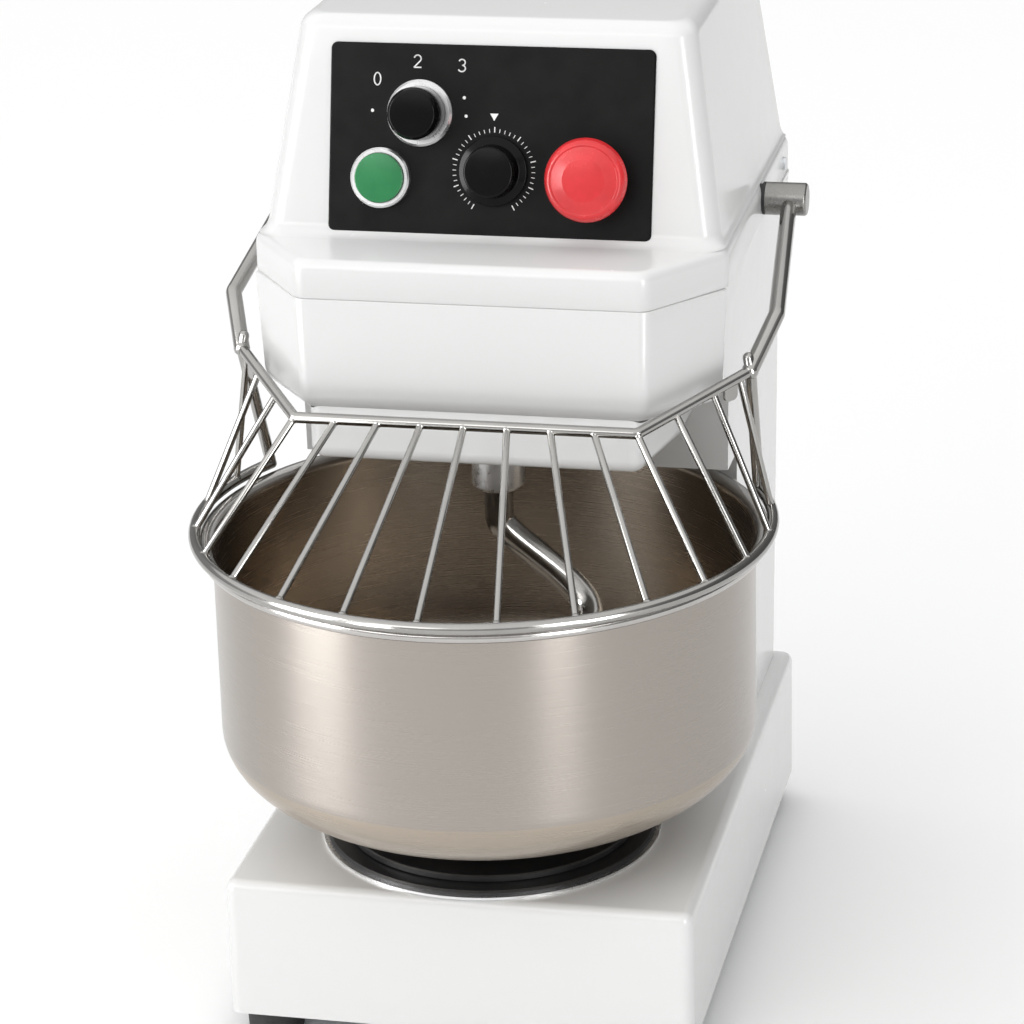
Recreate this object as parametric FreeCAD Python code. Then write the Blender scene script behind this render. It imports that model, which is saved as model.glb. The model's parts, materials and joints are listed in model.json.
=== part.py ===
"""Countertop spiral dough mixer, in millimetres.

The origin is on the floor under the middle of the machine. +Z is up, the front faces -Y, and +X is the
machine's left-hand side as it looks out, which is the right-hand side for a person standing in front.
"""
import FreeCAD, Part
import math
import os

from FreeCAD import Vector

os.makedirs("parts", exist_ok=True)

# --- Driving dimensions --------------------------------------------------------------------------
SHEET = 2.5                # sheet thickness of the painted housings

BOWL_Y = -80.0             # the bowl's axis is at X = 0 on this Y
BOWL_INNER_R = 180.0
BOWL_WALL = 1.5
BOWL_FLOOR_Z = 141.5       # inside floor of the bowl
BOWL_FLAT_R = 41.5         # the floor is flat out to here, and rises in a quarter ellipse from there
BOWL_DISH_H = 63.5         # height of that rise up to the straight wall, inside
RIM_R = 191.5
RIM_TOP_Z = 338.5
RIM_DEPTH = 7.0
RIM_ROLL_R = 3.5           # outer rounding of the rolled rim

FOOT_H = 20.0
FOOT_R = 20.0
FOOT_X = 134.0
FOOT_Y = (-171.0, 238.0)

BASE_HALF_W = 159.0
BASE_FRONT_Y = -196.0
BASE_REAR_Y = 263.0
BASE_TOP_Z = 118.0

RING_INNER_R = 88.0
RING_OUTER_R = 113.0
TRIM_OUTER_R = 116.0
TURNTABLE_R = 100.0

COLUMN_REAR_Y = 256.0
COLUMN_HALF_W_FOOT = 146.0
COLUMN_HALF_W_NECK = 149.0
COLUMN_HALF_W_TOP = 157.5
NECK_Z = 370.0             # the column starts to flare here
NECK_FRONT_Y = 20.0
RECESS_R = 204.0           # hollow of the column round the bowl
RECESS_TOP_Z = 350.0

SEAM_Z = 500.0             # joint between the top cover and everything under it
NOSE_BOTTOM_Z = 421.0
HEAD_FRONT_Y = -105.0
HEAD_FRONT_HALF_W = 116.0
HEAD_CHAMFER_Y = -44.0
HEAD_HALF_W = 160.0
HEAD_REAR_HALF_W = 156.5
SHOULDER_Z = 526.0
FACE_FOOT_Y = -43.5        # foot of the sloping face that carries the panel
FACE_TILT = 13.2           # degrees from the vertical
UPPER_HALF_W = 155.0       # at the shoulder, in front
TOP_HALF_W = 133.0
UPPER_TAPER = 0.01         # the upper body narrows towards the rear by this share of its length
TOP_Z = 667.0

SKIRT_BOTTOM_Z = 387.0
SKIRT_FRONT_Y = -100.5
SKIRT_FRONT_HALF_W = 111.5
SKIRT_CHAMFER_Y = -23.0
SKIRT_HALF_W = 125.0

SPIRAL_Y = -33.0
LAYSHAFT = (-58.0, 160.0)
MOTOR = (72.0, 189.0)
IDLER_Y = 50.0

PANEL_W = 218.0
PANEL_H = 125.0
PANEL_T = 2.0
PANEL_CORNER_R = 4.5
PANEL_CENTRE_Z = 589.5
START_UV = (-73.0, -26.0)
SELECTOR_UV = (-47.5, 17.2)
TIMER_UV = (3.0, -19.5)
ESTOP_UV = (68.0, -22.5)

PIVOT_Y = 120.0            # the guard turns about a line along X through this Y and Z
PIVOT_Z = 515.0
PIVOT_R = 8.0
SLEEVE_R = 11.4
SLEEVE_X = (160.5, 186.0)
GUARD_NODE = (174.0, -41.0, 443.0)     # where bar, arm and leg meet
GUARD_CORNER = (114.0, -128.0, 426.0)
GUARD_BEND = (187.0, -11.0, 473.0)
GUARD_ARM_TOP_X = 177.0
HOOP_R = 193.0
HOOP_Z = 342.8
HOOP_TUBE_R = 4.0
LEG_ANGLE = 27.0           # degrees behind the X axis where a leg meets the hoop
BAR_TUBE_R = 3.7
ARM_TUBE_R = 5.5
LEG_TUBE_R = 4.0
WIRE_R = 2.4
WIRE_STEP = 15.0           # degrees between the wires' feet on the hoop

RUNNING = 0.05             # radial clearance of a shaft in its bearing
BUSHING_R = 10.0           # the guard's bushings in the top cover's sides
BARREL_R = 11.0            # threaded barrel of each panel control
BARREL_DEPTH = 14.0
STEM_R = 6.0
STEM_HOLE_R = 6.3

HOOK_BAR_R = 10.0
HOOK_R = 66.0              # radius of the hook's turn about the spiral's axis
HOOK_BEND_R = 26.0
HOOK_ELBOW_Z = 314.0       # the straight shank ends here
HOOK_TOP_Z = 263.0         # the turn starts at this height and winds down to the end
HOOK_END_Z = 166.0
HOOK_START = 8.0           # degrees from +X where the turn starts
HOOK_STEP = 45.0           # degrees between the turn's bends
HOOK_CORNERS = 9

# --- Shape helpers -------------------------------------------------------------------------------
ORIGIN = (0.0, 0.0)
X_AXIS = Vector(1, 0, 0)
Y_AXIS = Vector(0, 1, 0)
Z_AXIS = Vector(0, 0, 1)


def box(x_range, y_range, z_range):
    """A block between the two ends of each range."""
    (x0, x1), (y0, y1), (z0, z1) = x_range, y_range, z_range
    return Part.makeBox(x1 - x0, y1 - y0, z1 - z0, Vector(x0, y0, z0))


def post(centre, z_range, radius):
    """An upright cylinder."""
    z0, z1 = z_range
    return Part.makeCylinder(radius, z1 - z0, Vector(centre[0], centre[1], z0))


def ring(centre, z_range, outer, inner):
    """An upright tube."""
    return post(centre, z_range, outer).cut(post(centre, z_range, inner))


def rod(start, end, radius):
    """A round bar between two points."""
    start = Vector(*start)
    span = Vector(*end) - start
    return Part.makeCylinder(radius, span.Length, start, span)


def ball(centre, radius):
    return Part.makeSphere(radius, Vector(*centre))


def mirrored(shape):
    """The same shape on the other side of the machine's middle plane."""
    return shape.mirror(Vector(0, 0, 0), X_AXIS)


def pair(shape):
    return [shape, mirrored(shape)]


def fused(shapes):
    first = shapes[0]
    return first.fuse(shapes[1:]).removeSplitter()


def outline(points, z):
    """A closed flat wire through (x, y) points at one height."""
    corners = [Vector(x, y, z) for x, y in points]
    return Part.makePolygon(corners + corners[:1])


def tapered(low_points, low_z, high_points, high_z):
    """A solid between two outlines with the same number of corners."""
    return Part.makeLoft([outline(low_points, low_z), outline(high_points, high_z)], True, True)


def symmetric(right_points):
    """The whole outline from the points of its +X half, listed from front to rear."""
    return right_points + [(-x, y) for x, y in reversed(right_points)]


def edge_ends(edge):
    return edge.Vertexes[0].Point, edge.Vertexes[-1].Point


def upright(edge):
    """True for an edge that runs mostly upwards."""
    start, end = edge_ends(edge)
    span = end - start
    return abs(span.z) > 0.8 * span.Length > 0


def level_at(height, reach=0.5):
    """A test for edges that lie at one height."""
    def test(edge):
        return all(abs(point.z - height) < reach for point in edge_ends(edge))
    return test


def rounded(shape, radius, wanted):
    """The shape with a fillet on each edge that passes the test."""
    return shape.makeFillet(radius, [edge for edge in shape.Edges if wanted(edge)])


def turned(centre, profile):
    """A solid of revolution about an upright axis, from (radius, z) points."""
    x, y = centre
    corners = [Vector(x + radius, y, z) for radius, z in profile]
    face = Part.Face(Part.makePolygon(corners + corners[:1]))
    return face.revolve(Vector(x, y, 0), Z_AXIS, 360)


def bent_rod(points, radius, bend_radius):
    """A round bar along straight runs joined by tangent arcs."""
    corners = [Vector(*point) for point in points]
    edges = []
    start = corners[0]
    for before, corner, after in zip(corners, corners[1:], corners[2:]):
        back = (before - corner).normalize()
        ahead = (after - corner).normalize()
        half_angle = back.getAngle(ahead) / 2
        reach = bend_radius / math.tan(half_angle)
        bisector = (back + ahead).normalize()
        middle = corner + bisector * (bend_radius / math.sin(half_angle) - bend_radius)
        arc_start = corner + back * reach
        arc_end = corner + ahead * reach
        if (arc_start - start).Length > 0.01:
            edges.append(Part.LineSegment(start, arc_start).toShape())
        edges.append(Part.Arc(arc_start, middle, arc_end).toShape())
        start = arc_end
    edges.append(Part.LineSegment(start, corners[-1]).toShape())
    path = Part.Wire(edges)
    section = Part.Circle(corners[0], corners[1] - corners[0], radius).toShape()
    return path.makePipe(Part.Face(Part.Wire(section)))


def mitred_rod(points, radius):
    """A round bar along straight runs, with a ball at each corner."""
    pieces = [rod(start, end, radius) for start, end in zip(points, points[1:])]
    pieces += [ball(corner, radius) for corner in points[1:-1]]
    return fused(pieces)


def save(name, *solids):
    """Write one sub-part's solids to its STEP file."""
    shape = solids[0] if len(solids) == 1 else Part.makeCompound(list(solids))
    shape.exportStep("parts/" + name + ".step")


# --- Feet and base -------------------------------------------------------------------------------
BASE_EDGE_R = 8.0
BASE_TOP_T = 3.0
PLATE_T = 3.0
BOWL_AXIS = (0.0, BOWL_Y)
SPIRAL_AXIS = (0.0, SPIRAL_Y)
IDLER_AXIS = (0.0, IDLER_Y)
BASE_CEILING_Z = BASE_TOP_Z - BASE_TOP_T
FOOT_PLACES = [(side * FOOT_X, y) for side in (-1, 1) for y in FOOT_Y]
FOOT_BOLT_R = 4.0
CORE_HOLE_R = 27.0


def make_base():
    """The painted base box, open underneath, and the plate that closes it."""
    outside = box((-BASE_HALF_W, BASE_HALF_W), (BASE_FRONT_Y, BASE_REAR_Y), (FOOT_H, BASE_TOP_Z))
    outside = rounded(outside, BASE_EDGE_R, upright)
    outside = rounded(outside, BASE_EDGE_R - 1, level_at(BASE_TOP_Z))
    inner_w = BASE_HALF_W - SHEET
    inner_y = (BASE_FRONT_Y + SHEET, BASE_REAR_Y - SHEET)
    inside = box((-inner_w, inner_w), inner_y, (FOOT_H, BASE_CEILING_Z))
    inside = rounded(inside, BASE_EDGE_R - SHEET, upright)
    housing = outside.cut(inside)
    housing = housing.cut(post(BOWL_AXIS, (BASE_CEILING_Z, BASE_TOP_Z), CORE_HOLE_R))
    housing = housing.cut(post(LAYSHAFT, (BASE_CEILING_Z, BASE_TOP_Z), 12))
    save("base_housing", housing)

    plate = inside.common(box((-inner_w, inner_w), inner_y, (FOOT_H, FOOT_H + PLATE_T)))
    for place in FOOT_PLACES:
        plate = plate.cut(post(place, (FOOT_H, FOOT_H + PLATE_T), FOOT_BOLT_R))
    save("base_plate", plate)


def make_feet():
    """Four rubber feet, each held by a bolt with a nut above the base plate."""
    head_h = 6.0
    feet = []
    bolts = []
    for place in FOOT_PLACES:
        foot = turned(place, [(0, 0), (FOOT_R - 3, 0), (FOOT_R - 1, 2), (FOOT_R, FOOT_H), (0, FOOT_H)])
        foot = foot.cut(post(place, (0, 3 + head_h), 9))
        foot = foot.cut(post(place, (0, FOOT_H), FOOT_BOLT_R))
        feet.append(foot)
        bolt = post(place, (3, 3 + head_h), 7)
        bolt = bolt.fuse(post(place, (3 + head_h, FOOT_H + PLATE_T + 9), FOOT_BOLT_R))
        bolt = bolt.fuse(post(place, (FOOT_H + PLATE_T, FOOT_H + PLATE_T + 6.5), 7))
        bolts.append(bolt.removeSplitter())
    save("rubber_feet", *feet)
    save("foot_bolts", *bolts)


def make_base_ring():
    """The dark ring that the turntable turns in, and the bright trim round it."""
    low = BASE_TOP_Z
    profile = [(RING_INNER_R, low), (RING_OUTER_R, low), (RING_OUTER_R, low + 3.5),
               (RING_OUTER_R - 1.5, low + 5), (RING_INNER_R, low + 5)]
    save("base_ring", turned(BOWL_AXIS, profile))
    save("ring_trim", ring(BOWL_AXIS, (low, low + 1.8), TRIM_OUTER_R, RING_OUTER_R))


# --- Pulleys and belts ---------------------------------------------------------------------------
PULLEY_H = 14.0
GROOVE_MARGIN = 2.7        # flange height above and below the belt groove
GROOVE_DEPTH = 5.6
BELT_GAP = 0.3             # room between the still belt and the turning groove
BELT_PROUD = 1.0


def pulley(centre, low_z, radius, bore):
    """A grooved pulley with a plain bore."""
    high_z = low_z + PULLEY_H
    groove_z = (low_z + GROOVE_MARGIN, high_z - GROOVE_MARGIN)
    blank = ring(centre, (low_z, high_z), radius, bore)
    return blank.cut(ring(centre, groove_z, radius + 1, radius - GROOVE_DEPTH))


def stadium(first, first_r, second, second_r, z_range):
    """The area inside a loop pulled tight round two circles, as a solid."""
    z0, z1 = z_range
    a = Vector(first[0], first[1], z0)
    b = Vector(second[0], second[1], z0)
    along = b - a
    turn = math.acos((first_r - second_r) / along.Length)
    heading = math.atan2(along.y, along.x)
    corners = []
    for angle in (heading + turn, heading - turn):
        out = Vector(math.cos(angle), math.sin(angle), 0)
        corners.append((a + out * first_r, b + out * second_r))
    (a_left, b_left), (a_right, b_right) = corners
    sides = Part.Face(Part.makePolygon([a_left, b_left, b_right, a_right, a_left]))
    web = sides.extrude(Vector(0, 0, z1 - z0))
    ends = [post(first, z_range, first_r), post(second, z_range, second_r)]
    return fused([web] + ends)


def belt(first, first_r, second, second_r, low_z):
    """A belt that lies in the grooves of two pulleys."""
    z_range = (low_z + GROOVE_MARGIN + BELT_GAP, low_z + PULLEY_H - GROOVE_MARGIN - BELT_GAP)
    inset = GROOVE_DEPTH - BELT_GAP
    outside = stadium(first, first_r + BELT_PROUD, second, second_r + BELT_PROUD, z_range)
    return outside.cut(stadium(first, first_r - inset, second, second_r - inset, z_range))


# --- Bowl and its turntable ----------------------------------------------------------------------
TURNTABLE_Z = (119.0, 123.8, 128.0)
SEAT_R = 41.0              # raised seat under the bowl's flat floor
BOWL_SPINDLE_R = 12.5
BOWL_PULLEY_R = 90.0
BOWL_PULLEY_Z = 42.0
BOWL_BOLT_CIRCLE_R = 27.0
BOWL_BOLT_R = 3.0
IDLER_BIG_R = 80.0
IDLER_SMALL_R = 18.0
BASE_BELT_Z = 62.0
BALL_BEARING = (26.0, 15.0)          # outer radius and width
BOWL_BEARING_Z = (64.0, 98.0)
SPIRAL_BEARING_Z = (398.0, 431.0)
BOWL_BOLT_PLACES = [
    (BOWL_BOLT_CIRCLE_R * math.cos(math.radians(angle)),
     BOWL_Y + BOWL_BOLT_CIRCLE_R * math.sin(math.radians(angle)))
    for angle in (45, 135, 225, 315)
]


def bowl_section():
    """The bowl's wall in section with its dished corner, and the rolled rim's section outside it."""
    def at(radius, z):
        return Vector(radius, BOWL_Y, z)

    def curve(*points):
        return Part.Arc(*[at(*point) for point in points]).toShape()

    def line(*points):
        return Part.LineSegment(*[at(*point) for point in points]).toShape()

    def dish(half_width, half_height):
        """A quarter ellipse from the floor's edge out and up to the wall."""
        centre = at(BOWL_FLAT_R, wall_foot_z)
        end_of_major = at(BOWL_FLAT_R + half_width, wall_foot_z)
        end_of_minor = at(BOWL_FLAT_R, wall_foot_z - half_height)
        ellipse = Part.Ellipse(end_of_major, end_of_minor, centre)
        return Part.ArcOfEllipse(ellipse, 0, math.pi / 2).toShape()

    outer_r = BOWL_INNER_R + BOWL_WALL
    wall_foot_z = BOWL_FLOOR_Z + BOWL_DISH_H
    under_floor_z = BOWL_FLOOR_Z - BOWL_WALL
    diagonal = math.sqrt(0.5)
    roll_x = RIM_R - RIM_ROLL_R
    roll_z = RIM_TOP_Z - RIM_ROLL_R
    under_z = RIM_TOP_Z - RIM_DEPTH
    lip_r = roll_x - BOWL_INNER_R
    lip_z = RIM_TOP_Z - lip_r

    def on_lip(radius):
        """The point of the lip's arc, from the wall up to the rim's top, at one radius."""
        return (radius, lip_z + math.sqrt(lip_r ** 2 - (roll_x - radius) ** 2))

    wall = [
        line((0, BOWL_FLOOR_Z), (BOWL_FLAT_R, BOWL_FLOOR_Z)),
        dish(BOWL_INNER_R - BOWL_FLAT_R, BOWL_DISH_H),
        line((BOWL_INNER_R, wall_foot_z), (BOWL_INNER_R, lip_z)),
        curve((BOWL_INNER_R, lip_z), on_lip(BOWL_INNER_R + BOWL_WALL / 2), on_lip(outer_r)),
        line(on_lip(outer_r), (outer_r, wall_foot_z)),
        dish(outer_r - BOWL_FLAT_R, BOWL_DISH_H + BOWL_WALL),
        line((BOWL_FLAT_R, under_floor_z), (0, under_floor_z)),
        line((0, under_floor_z), (0, BOWL_FLOOR_Z)),
    ]
    rim = [
        curve(on_lip(outer_r), on_lip((outer_r + roll_x) / 2), (roll_x, RIM_TOP_Z)),
        curve((roll_x, RIM_TOP_Z), (roll_x + RIM_ROLL_R * diagonal, roll_z + RIM_ROLL_R * diagonal),
              (RIM_R, roll_z)),
        line((RIM_R, roll_z), (RIM_R, under_z + 2)),
        line((RIM_R, under_z + 2), (RIM_R - 2, under_z)),
        line((RIM_R - 2, under_z), (outer_r, under_z)),
        line((outer_r, under_z), on_lip(outer_r)),
    ]
    return [Part.Face(Part.Wire(Part.__sortEdges__(edges))) for edges in (wall, rim)]


def make_bowl():
    """The bowl and its rim, the turntable with its spindle, their bolts, and the bowl's pulley."""
    bowl, rim = [face.revolve(Vector(0, BOWL_Y, 0), Z_AXIS, 360) for face in bowl_section()]
    low, step, top = TURNTABLE_Z
    hub_r = RING_INNER_R - 2
    seat_z = BOWL_FLOOR_Z - BOWL_WALL
    turntable = turned(BOWL_AXIS, [
        (0, 36), (BOWL_SPINDLE_R, 36), (BOWL_SPINDLE_R, low), (hub_r, low), (hub_r, step),
        (TURNTABLE_R, step), (TURNTABLE_R, top - 1), (TURNTABLE_R - 1, top), (SEAT_R + 8, top),
        (SEAT_R, seat_z), (0, seat_z)])
    bolts = []
    for place in BOWL_BOLT_PLACES:
        hole = post(place, (low + 2, BOWL_FLOOR_Z), BOWL_BOLT_R)
        bowl = bowl.cut(hole)
        turntable = turntable.cut(hole)
        head = turned(place, [(0, BOWL_FLOOR_Z), (6, BOWL_FLOOR_Z), (5, BOWL_FLOOR_Z + 3),
                              (0, BOWL_FLOOR_Z + 3)])
        bolts.append(head.fuse(hole).removeSplitter())
    save("bowl", bowl)
    save("bowl_rim", rim)
    save("turntable", turntable)
    save("bowl_bolts", *bolts)
    save("bowl_pulley", pulley(BOWL_AXIS, BOWL_PULLEY_Z, BOWL_PULLEY_R, BOWL_SPINDLE_R))


def make_bowl_bearing():
    """The housing under the base's top that carries the spindle."""
    outer = BALL_BEARING[0]
    housing = turned(BOWL_AXIS, [
        (outer, 62), (40, 62), (40, BASE_CEILING_Z - 8), (55, BASE_CEILING_Z - 8),
        (55, BASE_CEILING_Z), (outer, BASE_CEILING_Z)])
    save("bowl_bearing_housing", housing)


def make_ball_bearings():
    """Two ball bearings for the bowl's spindle and two for the spiral's shaft."""
    outer, width = BALL_BEARING
    bore = BOWL_SPINDLE_R + RUNNING
    places = [(BOWL_AXIS, z) for z in BOWL_BEARING_Z] + [(SPIRAL_AXIS, z) for z in SPIRAL_BEARING_Z]
    save("ball_bearings", *[ring(axis, (z, z + width), outer, bore) for axis, z in places])


# --- Drive train ---------------------------------------------------------------------------------
FRAME_PLATE_Z = (440.0, 446.0)
FRAME_HALF_W = 140.0
TONGUE_HALF_W = 100.0      # the frame plate is narrower where it runs forward into the nose
HOUSING_R = 34.0           # the spiral's bearing housing, through the frame plate
HOUSING_FOOT_Z = 396.0
SPIRAL_BELT_Z = 454.0
MOTOR_BELT_Z = 474.0
LAYSHAFT_R = 10.0
LAYSHAFT_BIG_R = 80.0
LAYSHAFT_SMALL_R = 30.0
LAYSHAFT_BASE_R = 20.0
SPIRAL_PULLEY_R = 67.5
SPIRAL_SHAFT_R = 12.5
IDLER_SHAFT_R = 8.0
MOTOR_PULLEY_R = 25.0
MOTOR_SHAFT_R = 7.0
MOTOR_BODY_R = 62.0
MOTOR_Z = (250.0, 434.0)
COLLAR_R = 18.0
COLLAR_Z = (350.0, 394.5)
CORE_R = 40.0              # opening in the sheet metal round the spiral's bearing housing
POST_W = 20.0
POST_PLACES = [(x, y) for x in (-132.0, 132.0) for y in (104.0, 240.0)]


def make_idler():
    """The shaft in the base that slows the drive down for the bowl, and its housing."""
    shaft = post(IDLER_AXIS, (38, 112), IDLER_SHAFT_R)
    big = pulley(IDLER_AXIS, BASE_BELT_Z, IDLER_BIG_R, IDLER_SHAFT_R)
    small = pulley(IDLER_AXIS, BOWL_PULLEY_Z, IDLER_SMALL_R, IDLER_SHAFT_R)
    spacer = ring(IDLER_AXIS, (BOWL_PULLEY_Z + PULLEY_H, BASE_BELT_Z), 14, IDLER_SHAFT_R)
    save("idler_pulleys", fused([shaft, big, small, spacer]))
    bore = IDLER_SHAFT_R + RUNNING
    save("idler_bearing_housing", turned(IDLER_AXIS, [
        (bore, 82), (22, 82), (22, 107), (34, 107), (34, BASE_CEILING_Z), (bore, BASE_CEILING_Z)]))


def make_layshaft():
    """The upright shaft at the rear that joins the head's drive to the base's."""
    save("layshaft", post(LAYSHAFT, (58, 494), LAYSHAFT_R))
    save("layshaft_pulleys",
         pulley(LAYSHAFT, MOTOR_BELT_Z, LAYSHAFT_BIG_R, LAYSHAFT_R),
         pulley(LAYSHAFT, SPIRAL_BELT_Z, LAYSHAFT_SMALL_R, LAYSHAFT_R),
         pulley(LAYSHAFT, BASE_BELT_Z, LAYSHAFT_BASE_R, LAYSHAFT_R))
    bore = LAYSHAFT_R + RUNNING
    top = FRAME_PLATE_Z[1]
    upper = turned(LAYSHAFT, [(bore, top), (30, top), (30, top + 4), (20, top + 4), (20, top + 7),
                              (bore, top + 7)])
    ceiling = BASE_CEILING_Z
    lower = turned(LAYSHAFT, [(bore, ceiling - 18), (20, ceiling - 18), (20, ceiling - 6),
                              (30, ceiling - 6), (30, ceiling), (bore, ceiling)])
    save("layshaft_bearings", upper, lower)


def make_motor():
    """The upright motor in the column, and its rotor with the fan and the small pulley."""
    low, high = MOTOR_Z
    body = post(MOTOR, (low, high), MOTOR_BODY_R - 5)
    fins = 20
    for index in range(fins):
        fin = box((MOTOR_BODY_R - 12, MOTOR_BODY_R), (-1.2, 1.2), (low + 18, high - 12))
        fin.rotate(Vector(0, 0, 0), Z_AXIS, 360.0 * index / fins)
        fin.translate(Vector(MOTOR[0], MOTOR[1], 0))
        body = body.fuse(fin)
    flange = post(MOTOR, (high, FRAME_PLATE_Z[0]), MOTOR_BODY_R)
    cover = ring(MOTOR, (low - 26, low + 6), MOTOR_BODY_R - 2, MOTOR_BODY_R - 5)
    cover_end = ring(MOTOR, (low - 28, low - 26), MOTOR_BODY_R - 2, 30)
    body = fused([body, flange, cover, cover_end])
    body = body.cut(post(MOTOR, (low, FRAME_PLATE_Z[0]), MOTOR_SHAFT_R + RUNNING))
    save("motor_body", body)

    shaft = post(MOTOR, (low - 22, 490), MOTOR_SHAFT_R)
    fan = post(MOTOR, (low - 22, low - 18), 50)
    for index in range(6):
        blade = box((MOTOR_SHAFT_R - 1, 48), (-1, 1), (low - 18, low - 4))
        blade.rotate(Vector(0, 0, 0), Z_AXIS, 60.0 * index)
        blade.translate(Vector(MOTOR[0], MOTOR[1], 0))
        fan = fan.fuse(blade)
    small = pulley(MOTOR, MOTOR_BELT_Z, MOTOR_PULLEY_R, MOTOR_SHAFT_R)
    save("motor_rotor", fused([shaft, fan, small]))


def make_belts():
    save("motor_belt", belt(LAYSHAFT, LAYSHAFT_BIG_R, MOTOR, MOTOR_PULLEY_R, MOTOR_BELT_Z))
    save("spiral_belt", belt(SPIRAL_AXIS, SPIRAL_PULLEY_R, LAYSHAFT, LAYSHAFT_SMALL_R, SPIRAL_BELT_Z))
    save("base_belt", belt(IDLER_AXIS, IDLER_BIG_R, LAYSHAFT, LAYSHAFT_BASE_R, BASE_BELT_Z))
    save("bowl_belt", belt(BOWL_AXIS, BOWL_PULLEY_R, IDLER_AXIS, IDLER_SMALL_R, BOWL_PULLEY_Z))


def hook_route():
    """Corner points of the hook's bar: down the axis, out to the side, then one turn downwards."""
    corner_r = HOOK_R / math.cos(math.radians(HOOK_STEP / 2))
    points = [(0, SPIRAL_Y, COLLAR_Z[0]), (0, SPIRAL_Y, HOOK_ELBOW_Z)]
    for index in range(HOOK_CORNERS):
        angle = math.radians(HOOK_START - HOOK_STEP * index)
        z = HOOK_TOP_Z + (HOOK_END_Z - HOOK_TOP_Z) * index / (HOOK_CORNERS - 1)
        points.append((corner_r * math.cos(angle), SPIRAL_Y + corner_r * math.sin(angle), z))
    return points


def make_spiral():
    """The hook, the collar that holds it, the shaft through the head, and the spiral's pulley."""
    route = hook_route()
    hook = bent_rod(route, HOOK_BAR_R, HOOK_BEND_R)
    hook = hook.fuse(ball(route[-1], HOOK_BAR_R)).removeSplitter()
    save("spiral_hook", hook)
    low, high = COLLAR_Z
    save("spiral_collar", turned(SPIRAL_AXIS, [
        (0, low), (COLLAR_R - 3, low), (COLLAR_R, low + 3), (COLLAR_R, high), (SPIRAL_SHAFT_R, high),
        (SPIRAL_SHAFT_R, low + 16), (0, low + 16)]))
    save("spiral_shaft", post(SPIRAL_AXIS, (low + 16, 492), SPIRAL_SHAFT_R))
    save("spiral_pulley", pulley(SPIRAL_AXIS, SPIRAL_BELT_Z, SPIRAL_PULLEY_R, SPIRAL_SHAFT_R))
    outer = BALL_BEARING[0]
    plate_top = FRAME_PLATE_Z[1]
    save("spiral_bearing_housing", turned(SPIRAL_AXIS, [
        (outer, HOUSING_FOOT_Z), (HOUSING_R, HOUSING_FOOT_Z), (HOUSING_R, plate_top), (50, plate_top),
        (50, plate_top + 5), (outer, plate_top + 5)]))


# --- Column --------------------------------------------------------------------------------------
COLUMN_EDGE_R = 9.0
LOUVRE_Z = [200.0 + 22.0 * index for index in range(9)]
REAR_COVER_HALF_W = 118.0
REAR_COVER_Z = (150.0, 470.0)
REAR_WINDOW_HALF_W = 104.0
REAR_WINDOW_Z = (166.0, 454.0)
REAR_COVER_T = 1.5
GLAND_AT = (-80.0, 180.0)            # X and Z of the mains inlet on the rear cover
GLAND_BARREL_R = 8.0
GLAND_BORE_R = 4.2
GLAND_HEX_R = 12.5
GLAND_HEX_H = 6.0
GLAND_NUT_R = 10.5
GLAND_REAR_Y = 277.0
REAR_SCREWS = [(side * 111.0, z) for side in (-1, 1) for z in (160.0, 310.0, 460.0)]
SIDE_SCREW_Y = 222.0
SIDE_SCREW_Z = 512.0
SCREW_R = 2.5
SCREW_L = 7.0
SCREW_HEAD_R = 4.6
SCREW_HEAD_H = 2.0


def column_side(inset):
    """The column seen from the side, as a solid slab from one side to the other."""
    reach = HEAD_HALF_W + 10
    neck_low_z = 402.0
    neck_high_z = 437.0
    points = [
        (COLUMN_REAR_Y - inset, BASE_TOP_Z), (COLUMN_REAR_Y - inset, SEAM_Z),
        (HEAD_CHAMFER_Y + inset, SEAM_Z), (HEAD_CHAMFER_Y + inset, neck_high_z + inset),
        (NECK_FRONT_Y + inset, neck_low_z + inset), (NECK_FRONT_Y + inset, BASE_TOP_Z),
    ]
    corners = [Vector(-reach, y, z) for y, z in points]
    face = Part.Face(Part.makePolygon(corners + corners[:1]))
    return face.extrude(Vector(2 * reach, 0, 0))


def column_front(inset):
    """The column seen from the front: straight, then flared out to the head."""
    low_w, neck_w, top_w = COLUMN_HALF_W_FOOT - inset, COLUMN_HALF_W_NECK - inset, COLUMN_HALF_W_TOP - inset
    middle_z = (NECK_Z + SEAM_Z) / 2
    middle_w = neck_w + (top_w - neck_w) / 4

    def side(sign):
        low = Vector(sign * low_w, HEAD_CHAMFER_Y - 5, BASE_TOP_Z)
        neck = Vector(sign * neck_w, HEAD_CHAMFER_Y - 5, NECK_Z)
        middle = Vector(sign * middle_w, HEAD_CHAMFER_Y - 5, middle_z)
        top = Vector(sign * top_w, HEAD_CHAMFER_Y - 5, SEAM_Z)
        return low, top, [Part.LineSegment(low, neck).toShape(), Part.Arc(neck, middle, top).toShape()]

    left_low, left_top, left = side(-1)
    right_low, right_top, right = side(1)
    across = [Part.LineSegment(left_top, right_top).toShape(),
              Part.LineSegment(right_low, left_low).toShape()]
    wire = Part.Wire(Part.__sortEdges__(left + right + across))
    return Part.Face(wire).extrude(Vector(0, COLUMN_REAR_Y - HEAD_CHAMFER_Y + 10, 0))


def column_solid(inset):
    """The column's outer form moved in by a wall thickness."""
    def rear_edge(edge):
        return upright(edge) and min(point.y for point in edge_ends(edge)) > COLUMN_REAR_Y - inset - 1

    solid = column_side(inset).common(column_front(inset))
    solid = rounded(solid, COLUMN_EDGE_R - inset, rear_edge)
    recess = post(BOWL_AXIS, (BASE_TOP_Z - 1, RECESS_TOP_Z + inset), RECESS_R + inset)
    return solid.cut(recess)


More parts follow.
